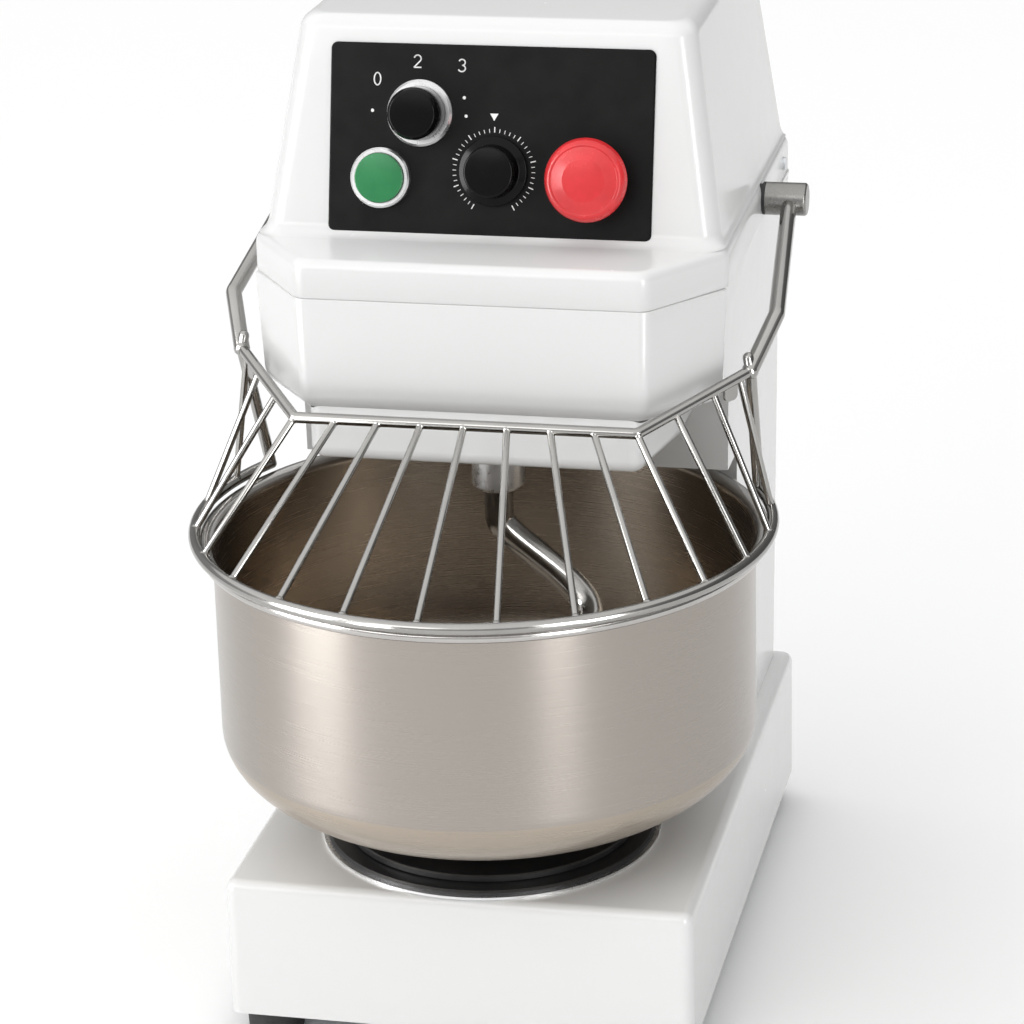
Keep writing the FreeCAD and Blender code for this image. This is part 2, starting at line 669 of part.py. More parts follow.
def make_column():
    """The painted column, its posts inside, and the louvred cover at the rear."""
    column = column_solid(0).cut(column_solid(SHEET))
    column = column.cut(post(SPIRAL_AXIS, (SKIRT_BOTTOM_Z, SEAM_Z), CORE_R))
    column = column.cut(box((-FRAME_HALF_W, FRAME_HALF_W), (HEAD_CHAMFER_Y - 1, HEAD_CHAMFER_Y + SHEET + 1),
                            (FRAME_PLATE_Z[0], SEAM_Z)))
    wall_y = (COLUMN_REAR_Y - SHEET - 1, COLUMN_REAR_Y + 1)
    column = column.cut(box((-REAR_WINDOW_HALF_W, REAR_WINDOW_HALF_W), wall_y, REAR_WINDOW_Z))
    for x, z in REAR_SCREWS:
        column = column.cut(rod((x, wall_y[0], z), (x, wall_y[1], z), SCREW_R))
    save("column_housing", biggest(column))

    posts = []
    for x, y in POST_PLACES:
        half = POST_W / 2
        z_range = (BASE_TOP_Z, FRAME_PLATE_Z[0])
        tube = box((x - half, x + half), (y - half, y + half), z_range)
        half -= 2
        posts.append(tube.cut(box((x - half, x + half), (y - half, y + half), z_range)))
    save("column_posts", *posts)

    cover_y = (COLUMN_REAR_Y, COLUMN_REAR_Y + REAR_COVER_T)
    cover = box((-REAR_COVER_HALF_W, REAR_COVER_HALF_W), cover_y, REAR_COVER_Z)
    for z in LOUVRE_Z:
        for x in (-50, 50):
            cover = cover.cut(box((x - 38, x + 38), (cover_y[0] - 1, cover_y[1] + 1), (z, z + 5)))
    for x, z in REAR_SCREWS:
        cover = cover.cut(rod((x, cover_y[0], z), (x, cover_y[1], z), SCREW_R))
    x, z = GLAND_AT
    cover = cover.cut(rod((x, cover_y[0], z), (x, cover_y[1], z), GLAND_BARREL_R))
    save("rear_cover", cover)


def make_gland():
    """The inlet for the mains lead: a barrel through the cover, a hexagon and a domed nut."""
    x, z = GLAND_AT
    face_y = COLUMN_REAR_Y + REAR_COVER_T

    def along(y0, y1, radius):
        return rod((x, y0, z), (x, y1, z), radius)

    hexagon = [Vector(x + GLAND_HEX_R * math.cos(math.radians(60 * corner)), face_y,
                      z + GLAND_HEX_R * math.sin(math.radians(60 * corner))) for corner in range(6)]
    body = Part.Face(Part.makePolygon(hexagon + hexagon[:1])).extrude(Vector(0, GLAND_HEX_H, 0))
    nut = along(face_y + GLAND_HEX_H, GLAND_REAR_Y, GLAND_NUT_R)
    nut = nut.makeFillet(4, [edge for edge in nut.Edges
                             if all(abs(p.y - GLAND_REAR_Y) < 0.1 for p in edge_ends(edge))])
    lock_nut = along(COLUMN_REAR_Y - GLAND_HEX_H, COLUMN_REAR_Y, GLAND_HEX_R - 0.5)
    barrel = along(COLUMN_REAR_Y - 8, face_y, GLAND_BARREL_R)
    gland = fused([body, nut, lock_nut, barrel])
    save("cable_gland", gland.cut(along(COLUMN_REAR_Y - 10, GLAND_REAR_Y + 1, GLAND_BORE_R)))


def make_screws():
    """Round-headed screws: six in the rear cover and one low on each side of the top cover."""
    screws = []
    for x, z in REAR_SCREWS:
        face_y = COLUMN_REAR_Y + REAR_COVER_T
        head = rod((x, face_y, z), (x, face_y + SCREW_HEAD_H, z), SCREW_HEAD_R)
        screws.append(head.fuse(rod((x, face_y - SCREW_L, z), (x, face_y, z), SCREW_R)).removeSplitter())
    side_x = side_at(SIDE_SCREW_Y - SCREW_HEAD_R)
    head = rod((side_x, SIDE_SCREW_Y, SIDE_SCREW_Z),
               (side_x + SCREW_HEAD_H, SIDE_SCREW_Y, SIDE_SCREW_Z), SCREW_HEAD_R)
    shank = rod((side_x - SCREW_L, SIDE_SCREW_Y, SIDE_SCREW_Z),
                (side_x, SIDE_SCREW_Y, SIDE_SCREW_Z), SCREW_R)
    screws += pair(head.fuse(shank).removeSplitter())
    save("cover_screws", *screws)


# --- Head ----------------------------------------------------------------------------------------
def side_at(y):
    """Half-width of the top cover's flange at one Y behind the chamfer."""
    share = (y - HEAD_CHAMFER_Y) / (COLUMN_REAR_Y - HEAD_CHAMFER_Y)
    return HEAD_HALF_W + (HEAD_REAR_HALF_W - HEAD_HALF_W) * share


def nose_outline(inset, half_front, half_rear, front_y):
    """The nose of the head in plan, with its chamfered corners."""
    return symmetric([(half_front - inset, front_y + inset), (half_rear - inset, HEAD_CHAMFER_Y)])


def moulded(solid, corner_r, foot_r, foot_z, rear_y):
    """Round a casing's upright corners and its lower edges, apart from those of its open rear."""
    def corner(edge):
        return upright(edge) and max(point.y for point in edge_ends(edge)) < rear_y - 5

    def foot(edge):
        ends = edge_ends(edge)
        return level_at(foot_z)(edge) and min(point.y for point in ends) < rear_y - 1

    return rounded(rounded(solid, corner_r, corner), foot_r, foot)


def nose_solid(inset):
    """The head under the seam, in front of the column, moved in by a wall thickness."""
    low_z = NOSE_BOTTOM_Z + inset
    low = nose_outline(inset, 114.5, 156.0, HEAD_FRONT_Y + 1)
    high = nose_outline(inset, HEAD_FRONT_HALF_W, HEAD_HALF_W, HEAD_FRONT_Y)
    return moulded(tapered(low, low_z, high, SEAM_Z), 11 - inset, 13 - inset, low_z, HEAD_CHAMFER_Y)


def make_nose():
    """The front casing of the head under the seam, open to the column behind it."""
    casing = nose_solid(0).cut(nose_solid(SHEET))
    casing = casing.cut(post(SPIRAL_AXIS, (NOSE_BOTTOM_Z - 1, NOSE_BOTTOM_Z + SHEET + 1), CORE_R))
    save("head_lower_casing", biggest(casing))


def make_skirt():
    """The lower skirt round the spiral's bearing, fitted under the nose and the neck."""
    def skirt_solid(inset):
        points = symmetric([
            (SKIRT_FRONT_HALF_W - inset, SKIRT_FRONT_Y + inset), (SKIRT_HALF_W - inset, SKIRT_CHAMFER_Y),
            (SKIRT_HALF_W - inset, NECK_FRONT_Y - inset)])
        low_z = SKIRT_BOTTOM_Z + inset
        solid = tapered(points, low_z, points, 436)
        return moulded(solid, 10 - inset, 9 - inset, low_z, NECK_FRONT_Y - inset)

    skirt = skirt_solid(0).cut(skirt_solid(SHEET))
    skirt = skirt.cut(nose_solid(0).fuse(column_solid(0)))
    skirt = skirt.cut(post(SPIRAL_AXIS, (SKIRT_BOTTOM_Z - 1, SKIRT_BOTTOM_Z + SHEET + 1), COLLAR_R + 2.5))
    save("head_skirt", biggest(skirt))


def biggest(shape):
    """The largest solid of a shape that a cut has left in several."""
    return max(shape.Solids, key=lambda solid: solid.Volume)


def face_y_at(z):
    """Y of the sloping face at one height."""
    return FACE_FOOT_Y + (z - SHOULDER_Z) * math.tan(math.radians(FACE_TILT))


def front_corner(edge):
    return upright(edge) and max(point.y for point in edge_ends(edge)) < COLUMN_REAR_Y - 20


def rear_corner(edge):
    return upright(edge) and min(point.y for point in edge_ends(edge)) > COLUMN_REAR_Y - 20


def cover_part(solid, inset, corner_r, top_r, top_z):
    """Round the corners and the top edge of one storey of the top cover."""
    solid = rounded(solid, corner_r - inset, front_corner)
    solid = rounded(solid, 9 - inset, rear_corner)
    return rounded(solid, top_r - inset, level_at(top_z))


def flange_solid(inset):
    """The wide lower storey of the top cover."""
    points = symmetric([
        (HEAD_FRONT_HALF_W - inset, HEAD_FRONT_Y + inset), (HEAD_HALF_W - inset, HEAD_CHAMFER_Y),
        (HEAD_REAR_HALF_W - inset, COLUMN_REAR_Y - inset)])
    high_z = SHOULDER_Z - inset
    return cover_part(tapered(points, SEAM_Z, points, high_z), inset, 12, 7.5, high_z)


def upper_solid(inset):
    """The narrower upper storey of the top cover, with the sloping face."""
    low_z = SHOULDER_Z - 8 - inset
    high_z = TOP_Z - inset
    draft = (UPPER_HALF_W - TOP_HALF_W) / (TOP_Z - SHOULDER_Z)
    rear_low = COLUMN_REAR_Y - inset
    rear_high = COLUMN_REAR_Y - inset - 5

    def corner_at(y, z):
        half = UPPER_HALF_W - inset - draft * (z - SHOULDER_Z)
        return (half - UPPER_TAPER * (y - FACE_FOOT_Y), y)

    def level(z, rear_y):
        return symmetric([corner_at(face_y_at(z) + inset, z), corner_at(rear_y, z)])

    solid = tapered(level(low_z, rear_low), low_z, level(high_z, rear_high), high_z)
    return cover_part(solid, inset, 15, 9, high_z)


def make_top_cover():
    """The painted top cover: a wide flange, and a body above it with a sloping face."""
    outside = fused([flange_solid(0), upper_solid(0)])
    cover = outside.cut(flange_solid(SHEET)).cut(upper_solid(SHEET))
    window = box((-PANEL_W / 2 + 10, PANEL_W / 2 - 10), (-PANEL_H / 2 + 10, PANEL_H / 2 - 10), (-20, 10))
    cover = cover.cut(on_panel(window, (0, 0)))
    reach = HEAD_HALF_W + 5
    cover = cover.cut(rod((-reach, PIVOT_Y, PIVOT_Z), (reach, PIVOT_Y, PIVOT_Z), BUSHING_R))
    for sign in (-1, 1):
        near = (sign * (HEAD_HALF_W - 20), SIDE_SCREW_Y, SIDE_SCREW_Z)
        far = (sign * reach, SIDE_SCREW_Y, SIDE_SCREW_Z)
        cover = cover.cut(rod(near, far, SCREW_R))
    save("head_top_cover", biggest(cover))


def make_frame_plate():
    """The steel plate on the posts that carries the motor and the upper bearings."""
    low, high = FRAME_PLATE_Z
    step_y = HEAD_CHAMFER_Y + 5
    plate = box((-FRAME_HALF_W, FRAME_HALF_W), (step_y, COLUMN_REAR_Y - SHEET - 0.5), (low, high))
    tongue = box((-TONGUE_HALF_W, TONGUE_HALF_W), (HEAD_FRONT_Y + 8, step_y), (low, high))
    plate = fused([plate, tongue])
    for centre, radius in ((SPIRAL_AXIS, HOUSING_R), (LAYSHAFT, LAYSHAFT_R + 3), (MOTOR, MOTOR_SHAFT_R + 5)):
        plate = plate.cut(post(centre, (low, high), radius))
    save("head_frame_plate", plate)


# --- Control panel -------------------------------------------------------------------------------
def panel_point(u, v, n):
    """A point from its place on the panel: u to the right, v up the slope, n out of the face."""
    tilt = math.radians(FACE_TILT)
    centre = Vector(0, face_y_at(PANEL_CENTRE_Z), PANEL_CENTRE_Z)
    up = Vector(0, math.sin(tilt), math.cos(tilt))
    out = Vector(0, -math.cos(tilt), math.sin(tilt))
    return centre + X_AXIS * u + up * v + out * (n + PANEL_T)


def on_panel(shape, place):
    """Move a shape drawn about +Z so that its Z points out of the panel at (u, v)."""
    moved = shape.copy()
    moved.rotate(Vector(0, 0, 0), X_AXIS, 90 - FACE_TILT)
    moved.translate(panel_point(place[0], place[1], 0))
    return moved


def make_panel():
    """The dark panel with a bevelled edge and a hole for each control."""
    half_w, half_h = PANEL_W / 2, PANEL_H / 2
    plate = box((-half_w, half_w), (-half_h, half_h), (-PANEL_T, 0))
    plate = rounded(plate, PANEL_CORNER_R, upright)
    plate = plate.makeChamfer(1.0, [edge for edge in plate.Edges if level_at(0)(edge)])
    for place in (START_UV, SELECTOR_UV, ESTOP_UV):
        plate = plate.cut(post(place, (-PANEL_T, 0), BARREL_R))
    plate = plate.cut(post(TIMER_UV, (-PANEL_T, 0), 6))
    save("control_panel", on_panel(plate, (0, 0)))


CONTROL_BOX_W = 190.0
CONTROL_BOX_H = 100.0
CONTROL_BOX_DEPTH = 55.0
CONTROL_BOX_Z = 540.0
CONTROL_BOX_GAP = 6.5      # room behind the box for the cover's slope
CAM_X = 123.0
CAM_W = 10.0
CAM_R = 15.0


def bezel(radius, height, edge):
    """A flanged sleeve that clamps a control in the panel."""
    return turned(ORIGIN, [
        (STEM_HOLE_R, -BARREL_DEPTH), (BARREL_R, -BARREL_DEPTH), (BARREL_R, 0), (radius, 0),
        (radius, height - edge), (radius - edge, height), (STEM_HOLE_R, height)])


def make_controls():
    """Start button, selector, timer and emergency stop, with what holds them behind the panel."""
    start_bezel = bezel(20, 6, 1.2).cut(post(ORIGIN, (1, 6), 16.8))
    selector_bezel = bezel(22, 4, 1.5)
    save("control_bezels", on_panel(start_bezel, START_UV), on_panel(selector_bezel, SELECTOR_UV))
    button = turned(ORIGIN, [(0, -16), (STEM_R, -16), (STEM_R, 5), (16.4, 5), (16.4, 8), (15.2, 9), (0, 9)])
    save("start_button", on_panel(button, START_UV))

    knob = turned(ORIGIN, [(0, -16), (STEM_R, -16), (STEM_R, 4.5), (18, 4.5), (16.5, 23), (14.5, 25),
                           (0, 25)])
    save("selector_knob", on_panel(knob, SELECTOR_UV))

    save("estop_collar", on_panel(bezel(16, 4, 1), ESTOP_UV))
    save("estop_stem", on_panel(post(ORIGIN, (-16, 20), STEM_R), ESTOP_UV))
    socket_r = STEM_R + RUNNING
    mushroom = turned(ORIGIN, [
        (socket_r, 10), (14, 10), (26, 13), (27.5, 15), (27.5, 19), (25.5, 22.5), (21, 24.8), (14, 26.2),
        (0, 27), (0, 20.3), (socket_r, 20.3)])
    save("estop_mushroom", on_panel(mushroom, ESTOP_UV))

    timer_stem_r = 3.0
    timer = turned(ORIGIN, [(0, -9), (timer_stem_r, -9), (timer_stem_r, 1), (23, 1), (23, 3.5),
                            (17.5, 5), (16.5, 17), (15, 18.5), (0, 18.5)])
    save("timer_knob", on_panel(timer, TIMER_UV))
    unit = box((-23, 23), (-23, 23), (-45, -PANEL_T))
    unit = unit.cut(post(ORIGIN, (-10, -PANEL_T), timer_stem_r + RUNNING))
    save("timer_unit", on_panel(unit, TIMER_UV))

    block = box((-12, 12), (-17, 17), (-50, -BARREL_DEPTH))
    block = block.cut(post(ORIGIN, (-24, -BARREL_DEPTH), 8))
    save("contact_blocks", *[on_panel(block, place) for place in (START_UV, SELECTOR_UV, ESTOP_UV)])


def make_electrics():
    """The control box by the rear wall and the sensor that watches the guard's cam."""
    rear_y = COLUMN_REAR_Y - SHEET - CONTROL_BOX_GAP
    save("control_box", box((-CONTROL_BOX_W / 2, CONTROL_BOX_W / 2), (rear_y - CONTROL_BOX_DEPTH, rear_y),
                            (CONTROL_BOX_Z, CONTROL_BOX_Z + CONTROL_BOX_H)))
    half_w, half_d = CAM_W / 2 + 2, 9
    save("safety_sensor", box((CAM_X - half_w, CAM_X + half_w), (PIVOT_Y - half_d, PIVOT_Y + half_d),
                              (FRAME_PLATE_Z[1], PIVOT_Z - CAM_R - 2)))


# --- Guard ---------------------------------------------------------------------------------------
def hoop_point(angle):
    """A point of the hoop's centre line, by its angle from +X."""
    radians = math.radians(angle)
    return (HOOP_R * math.cos(radians), BOWL_Y + HOOP_R * math.sin(radians), HOOP_Z)


def bar_point(index):
    """Upper end of a wire: nine across the front bar, then three along each chamfer bar."""
    side = 1 if index > 0 else -1
    step = abs(index)
    across = 4
    if step <= across:
        return (GUARD_CORNER[0] * index / across, GUARD_CORNER[1], GUARD_CORNER[2])
    share = {5: 0.33, 6: 0.66, 7: 0.9}[step]
    near, far = Vector(*GUARD_CORNER), Vector(*GUARD_NODE)
    point = near + (far - near) * share
    return (side * point.x, point.y, point.z)


def make_guard():
    """The wire guard over the front of the bowl, with its arms, sleeves and pivot shaft."""
    radians = math.radians(LEG_ANGLE)
    tangent = Vector(-math.sin(radians), math.cos(radians), 0)
    section = Part.Circle(Vector(*hoop_point(LEG_ANGLE)), tangent, HOOP_TUBE_R).toShape()
    hoop = Part.Face(Part.Wire(section)).revolve(Vector(0, BOWL_Y, 0), Z_AXIS, -(180 + 2 * LEG_ANGLE))
    tips = [ball(hoop_point(angle), HOOP_TUBE_R) for angle in (LEG_ANGLE, 180 - LEG_ANGLE)]
    hoop = fused([hoop] + tips)
    save("guard_hoop", hoop)

    sleeve = rod((SLEEVE_X[0], PIVOT_Y, PIVOT_Z), (SLEEVE_X[1], PIVOT_Y, PIVOT_Z), SLEEVE_R)
    bore = rod((SLEEVE_X[0], PIVOT_Y, PIVOT_Z), (SLEEVE_X[1], PIVOT_Y, PIVOT_Z), PIVOT_R)
    save("guard_sleeves", *pair(sleeve.cut(bore)))
    cap = rod((SLEEVE_X[1], PIVOT_Y, PIVOT_Z), (SLEEVE_X[1] + 3, PIVOT_Y, PIVOT_Z), SLEEVE_R)
    outer_x = SLEEVE_X[1] + 3
    cap = cap.makeFillet(2, [edge for edge in cap.Edges
                             if all(abs(p.x - outer_x) < 0.1 for p in edge_ends(edge))])
    save("guard_end_caps", *pair(cap))

    arm_top = (GUARD_ARM_TOP_X, PIVOT_Y, PIVOT_Z)
    arm = mitred_rod([arm_top, GUARD_BEND, GUARD_NODE], ARM_TUBE_R)
    arm = biggest(arm.cut(sleeve))
    arm = arm.fuse(ball(GUARD_NODE, ARM_TUBE_R)).removeSplitter()
    save("guard_arms", *pair(arm))

    corner = GUARD_CORNER
    node = GUARD_NODE
    bar_points = [(-node[0], node[1], node[2]), (-corner[0], corner[1], corner[2]), corner, node]
    bar = mitred_rod(bar_points, BAR_TUBE_R)
    arms = arm.fuse(mirrored(arm))
    bar = biggest(bar.cut(arms))
    save("guard_top_bar", bar)

    leg = rod(node, hoop_point(LEG_ANGLE), LEG_TUBE_R)
    leg = biggest(leg.cut(arms.fuse([hoop, bar])))
    save("guard_legs", *pair(leg))

    frame = bar.fuse([hoop, arms])
    wires = []
    for index in range(-7, 8):
        wire = rod(bar_point(index), hoop_point(-90 + WIRE_STEP * index), WIRE_R)
        wires.append(biggest(wire.cut(frame)))
    save("guard_wires", *wires)

    tab = box((-6, 6), (-1, 1), (-13, 0))
    tab = tab.makeFillet(4, [edge for edge in tab.Edges
                             if all(abs(p.z + 13) < 0.1 for p in edge_ends(edge)) and edge.Length < 3])
    run = Vector(*node) - Vector(*corner)
    tab.rotate(Vector(0, 0, 0), Z_AXIS, math.degrees(math.atan2(run.y, run.x)))
    tab.translate(Vector(*corner) + run * 0.82)
    save("guard_tabs", *pair(biggest(tab.cut(bar))))


def make_guard_pivot():
    """The shaft across the head with its sensor cam, and the bushings in the top cover."""
    def across(x0, x1, radius):
        return rod((x0, PIVOT_Y, PIVOT_Z), (x1, PIVOT_Y, PIVOT_Z), radius)

    shaft = across(-SLEEVE_X[1], SLEEVE_X[1], PIVOT_R)
    cam = across(CAM_X - CAM_W / 2, CAM_X + CAM_W / 2, CAM_R)
    save("guard_shaft", shaft.fuse(cam).removeSplitter())
    wall_x = side_at(PIVOT_Y)
    barrel = across(wall_x - 9, wall_x + 0.3, BUSHING_R)
    flange = across(wall_x + 0.3, SLEEVE_X[0] - 0.3, SLEEVE_R)
    bushing = barrel.fuse(flange).removeSplitter().cut(across(wall_x - 10, SLEEVE_X[0], PIVOT_R + RUNNING))
    save("guard_bushings", *pair(bushing))


make_base()
make_feet()
make_base_ring()
make_bowl()
make_bowl_bearing()
make_ball_bearings()
make_idler()
make_layshaft()
make_motor()
make_belts()
make_spiral()
make_column()
make_gland()
make_screws()
make_nose()
make_skirt()
make_top_cover()
make_frame_plate()
make_panel()
make_controls()
make_electrics()
make_guard()
make_guard_pivot()
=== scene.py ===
"""Countertop spiral dough mixer: detailed pieces, materials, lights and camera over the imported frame.

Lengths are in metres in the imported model's own frame: +Z up, the front faces -Y. MM turns the
millimetres in which the dimensions are given into metres.
"""

import json
import math

import bmesh
import bpy
from mathutils import Matrix, Vector

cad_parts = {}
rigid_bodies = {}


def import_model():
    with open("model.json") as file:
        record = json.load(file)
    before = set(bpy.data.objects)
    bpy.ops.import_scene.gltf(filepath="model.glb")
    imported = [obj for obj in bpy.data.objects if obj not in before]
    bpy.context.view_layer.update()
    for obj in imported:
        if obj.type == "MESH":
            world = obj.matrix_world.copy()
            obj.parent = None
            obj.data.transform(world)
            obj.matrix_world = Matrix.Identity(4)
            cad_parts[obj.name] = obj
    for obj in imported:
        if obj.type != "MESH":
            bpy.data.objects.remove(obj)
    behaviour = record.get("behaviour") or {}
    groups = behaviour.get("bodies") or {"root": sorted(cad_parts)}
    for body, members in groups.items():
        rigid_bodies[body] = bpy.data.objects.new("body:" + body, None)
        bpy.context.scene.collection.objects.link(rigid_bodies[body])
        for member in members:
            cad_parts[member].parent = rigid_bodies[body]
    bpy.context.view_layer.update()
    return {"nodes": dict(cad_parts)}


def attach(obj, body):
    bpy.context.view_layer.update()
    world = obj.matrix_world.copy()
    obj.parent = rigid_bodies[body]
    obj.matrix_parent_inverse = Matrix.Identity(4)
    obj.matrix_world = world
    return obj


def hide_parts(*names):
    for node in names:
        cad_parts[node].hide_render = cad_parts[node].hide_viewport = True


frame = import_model()
nodes = frame["nodes"]

MM = 0.001

# --- Driving dimensions, in millimetres -----------------------------------------------------------
BOWL_Y = -80.0
BOWL_INNER_R = 180.0
BOWL_WALL = 1.5
BOWL_FLOOR_Z = 141.5
BOWL_FLAT_R = 41.5                 # the flat floor ends here and the dished wall begins
BOWL_DISH_H = 63.5
RIM_R = 191.5
RIM_TOP_Z = 338.5
RIM_DEPTH = 7.0

SEAM_Z = 500.0
SHOULDER_Z = 526.0
TOP_Z = 667.0
HEAD_FRONT = (116.0, -105.0)       # half-width and Y of the head's front face
HEAD_SIDE = (160.0, -44.0)         # half-width and Y where the chamfer meets the side
HEAD_REAR = (156.5, 256.0)
FLANGE_CORNER_R = (13.0, 13.0, 9.0)    # in plan, from the front to the rear
UPPER_CORNER_R = (8.0, 15.0, 9.0)
REAR_LEAN = 5.0                    # the upper body's back comes forward by this up to the top
FACE_POINT_IN = 34.0               # the face's extra point, which pairs with the chamfer's corner
FACE_FOOT_Y = -43.5
FACE_TILT = math.radians(13.2)
UPPER_HALF_W = 155.0
TOP_HALF_W = 133.0
UPPER_TAPER = 0.01                 # share of its length by which the upper body narrows to the rear
NOSE_BOTTOM_Z = 421.0
NOSE_FOOT_FRONT = (114.5, -104.0)  # half-width and Y of the nose's front at its foot
NOSE_FOOT_HALF_W = 156.0
NOSE_CORNER_R = (11.0, 2.0, 0.8)

PANEL_T = 2.0
PANEL_CENTRE_Z = 589.5
START_UV = (-73.0, -26.0)
SELECTOR_UV = (-47.5, 17.2)
TIMER_UV = (3.0, -19.5)
ESTOP_UV = (68.0, -22.5)

SPIRAL_Y = -33.0
SHANK_Z = (352.0, 341.0, 330.0, 319.0)     # heights of the points that hold the shank straight
HOOK_R = 66.0
HOOK_BAR_R = 10.0
HOOK_TOP_Z = 263.0                 # the turn starts at this height and winds down to the end
HOOK_END_Z = 166.0
HOOK_START = 8.0                   # degrees from +X where the turn starts
HOOK_STEP = 45.0                   # degrees between the turn's bends
HOOK_CORNERS = 9
HOOK_CORNER_OUT = 1.03             # the smooth line cuts the bends, so they stand a little further out

PIVOT_Y = 120.0
PIVOT_Z = 515.0
GUARD_NODE = (174.0, -41.0, 443.0)
GUARD_CORNER = (114.0, -128.0, 426.0)
GUARD_BEND = (187.0, -11.0, 473.0)
GUARD_ARM_TOP_X = 177.0
GUARD_TIP = (-1.5, 1.0, 8.5)       # the top bar's ends run on past the node by this
HOOP_R = 193.0
HOOP_Z = 342.8
LEG_ANGLE = 27.0                   # degrees behind the X axis where a leg meets the hoop
HOOP_TUBE_R = 4.0
BAR_TUBE_R = 3.7
ARM_TUBE_R = 5.5
LEG_TUBE_R = 4.0
WIRE_R = 2.4
WIRES_EACH_SIDE = 7
WIRE_STEP = 15.0                   # degrees between the wires' feet on the hoop

SCALE_FIRST = -60.0                # degrees, the timer's first tick
SCALE_SWEEP = 300.0
SCALE_TICKS = 40
SCALE_INNER_R = 25.4
LONG_TICK = (29.0, 0.7)            # outer radius and width
SHORT_TICK = (27.8, 0.45)
POINTER = [(-0.3, 18.2), (2.5, 13.4), (5.3, 18.2)]
DOTS = [(-18, 28), (-16.5, 16), (-80, 18)]
DOT_R = 1.1
FIGURE_STROKE = 0.9
PRINT_T = 0.12

# --- Node materials -------------------------------------------------------------------------------


class Nodes:
    """A short way to build one material's node tree."""

    def __init__(self, name):
        self.material = bpy.data.materials.new(name)
        self.material.use_nodes = True
        self.tree = self.material.node_tree
        self.shader = self.tree.nodes["Principled BSDF"]
        self.position = self.add("ShaderNodeTexCoord").outputs["Object"]

    def add(self, kind, **settings):
        node = self.tree.nodes.new(kind)
        for key, value in settings.items():
            setattr(node, key, value)
        return node

    def link(self, source, target):
        """Join two sockets."""
        self.tree.links.new(source, target)

    def set(self, **values):
        """Constant inputs of the shader, by name with spaces as underscores."""
        for key, value in values.items():
            self.shader.inputs[key.replace("_", " ")].default_value = value

    def polar(self, centre):
        """The angle, radius and height about an upright axis."""
        shifted = self.add("ShaderNodeVectorMath", operation="SUBTRACT")
        shifted.inputs[1].default_value = (centre[0] * MM, centre[1] * MM, 0)
        self.link(self.position, shifted.inputs[0])
        split = self.add("ShaderNodeSeparateXYZ")
        self.link(shifted.outputs[0], split.inputs[0])
        angle = self.math("ARCTAN2", split.outputs["Y"], split.outputs["X"])
        flat = self.add("ShaderNodeVectorMath", operation="MULTIPLY")
        flat.inputs[1].default_value = (1, 1, 0)
        self.link(shifted.outputs[0], flat.inputs[0])
        radius = self.add("ShaderNodeVectorMath", operation="LENGTH")
        self.link(flat.outputs[0], radius.inputs[0])
        return angle, radius.outputs["Value"], split.outputs["Z"]

    def round_axis(self, centre, scale):
        """Coordinates (angle, radius, height) about an upright axis, scaled, for spun metal."""
        joined = self.add("ShaderNodeCombineXYZ")
        for source, factor, target in zip(self.polar(centre), scale, "XYZ"):
            self.link(self.math("MULTIPLY", source, factor), joined.inputs[target])
        return joined.outputs[0]

    def math(self, operation, first, second):
        node = self.add("ShaderNodeMath", operation=operation)
        for value, socket in zip((first, second), node.inputs):
            if isinstance(value, (int, float)):
                socket.default_value = value
            else:
                self.link(value, socket)
        return node.outputs[0]

    def noise(self, scale, detail=3.0, vector=None, roughness=0.5):
        node = self.add("ShaderNodeTexNoise")
        node.inputs["Scale"].default_value = scale
        node.inputs["Detail"].default_value = detail
        node.inputs["Roughness"].default_value = roughness
        self.link(vector or self.position, node.inputs["Vector"])
        return node.outputs["Fac"]

    def between(self, factor, low, high, start=0.3, end=0.7):
        """A value that runs from low to high as the factor runs from start to end."""
        node = self.add("ShaderNodeMapRange")
        node.inputs["From Min"].default_value = start
        node.inputs["From Max"].default_value = end
        node.inputs["To Min"].default_value = low
        node.inputs["To Max"].default_value = high
        self.link(factor, node.inputs["Value"])
        return node.outputs["Result"]

    def mixed(self, factor, first, second):
        """A colour between two, by a factor. Each is a colour or an output socket."""
        node = self.add("ShaderNodeMix", data_type="RGBA")
        self.link(factor, node.inputs["Factor"])
        for value, socket in ((first, node.inputs[6]), (second, node.inputs[7])):
            if isinstance(value, tuple):
                socket.default_value = (*value, 1)
            else:
                self.link(value, socket)
        return node.outputs[2]

    def bump(self, height, strength, distance, below=None):
        node = self.add("ShaderNodeBump")
        node.inputs["Strength"].default_value = strength
        node.inputs["Distance"].default_value = distance
        self.link(height, node.inputs["Height"])
        if below is not None:
            self.link(below, node.inputs["Normal"])
        return node.outputs["Normal"]

    def finish(self, colour=None, roughness=None, normal=None):
        """Join what is given to the shader, and hand the material back."""
        for source, name in ((colour, "Base Color"), (roughness, "Roughness"), (normal, "Normal")):
            if source is not None:
                self.link(source, self.shader.inputs[name])
        return self.material


def dimmed(colour, share):
    """A colour with every channel scaled."""
    return tuple(channel * share for channel in colour)


def enamel(name, colour, roughness):
    """Gloss paint with a faint orange peel, slight cloudiness and a clear top."""
    n = Nodes(name)
    n.set(Coat_Weight=0.25, Coat_Roughness=0.1, IOR=1.48)
    clouds = n.noise(7.0, 3.0)
    scuffs = n.noise(60.0, 4.0)
    peel = n.bump(n.noise(450.0, 1.0), 0.008, 0.0001)
    tint = n.mixed(n.between(clouds, 0, 1, 0.2, 0.8), dimmed(colour, 0.993), colour)
    return n.finish(tint, n.between(scuffs, roughness * 0.95, roughness * 1.06, 0.2, 0.8), peel)


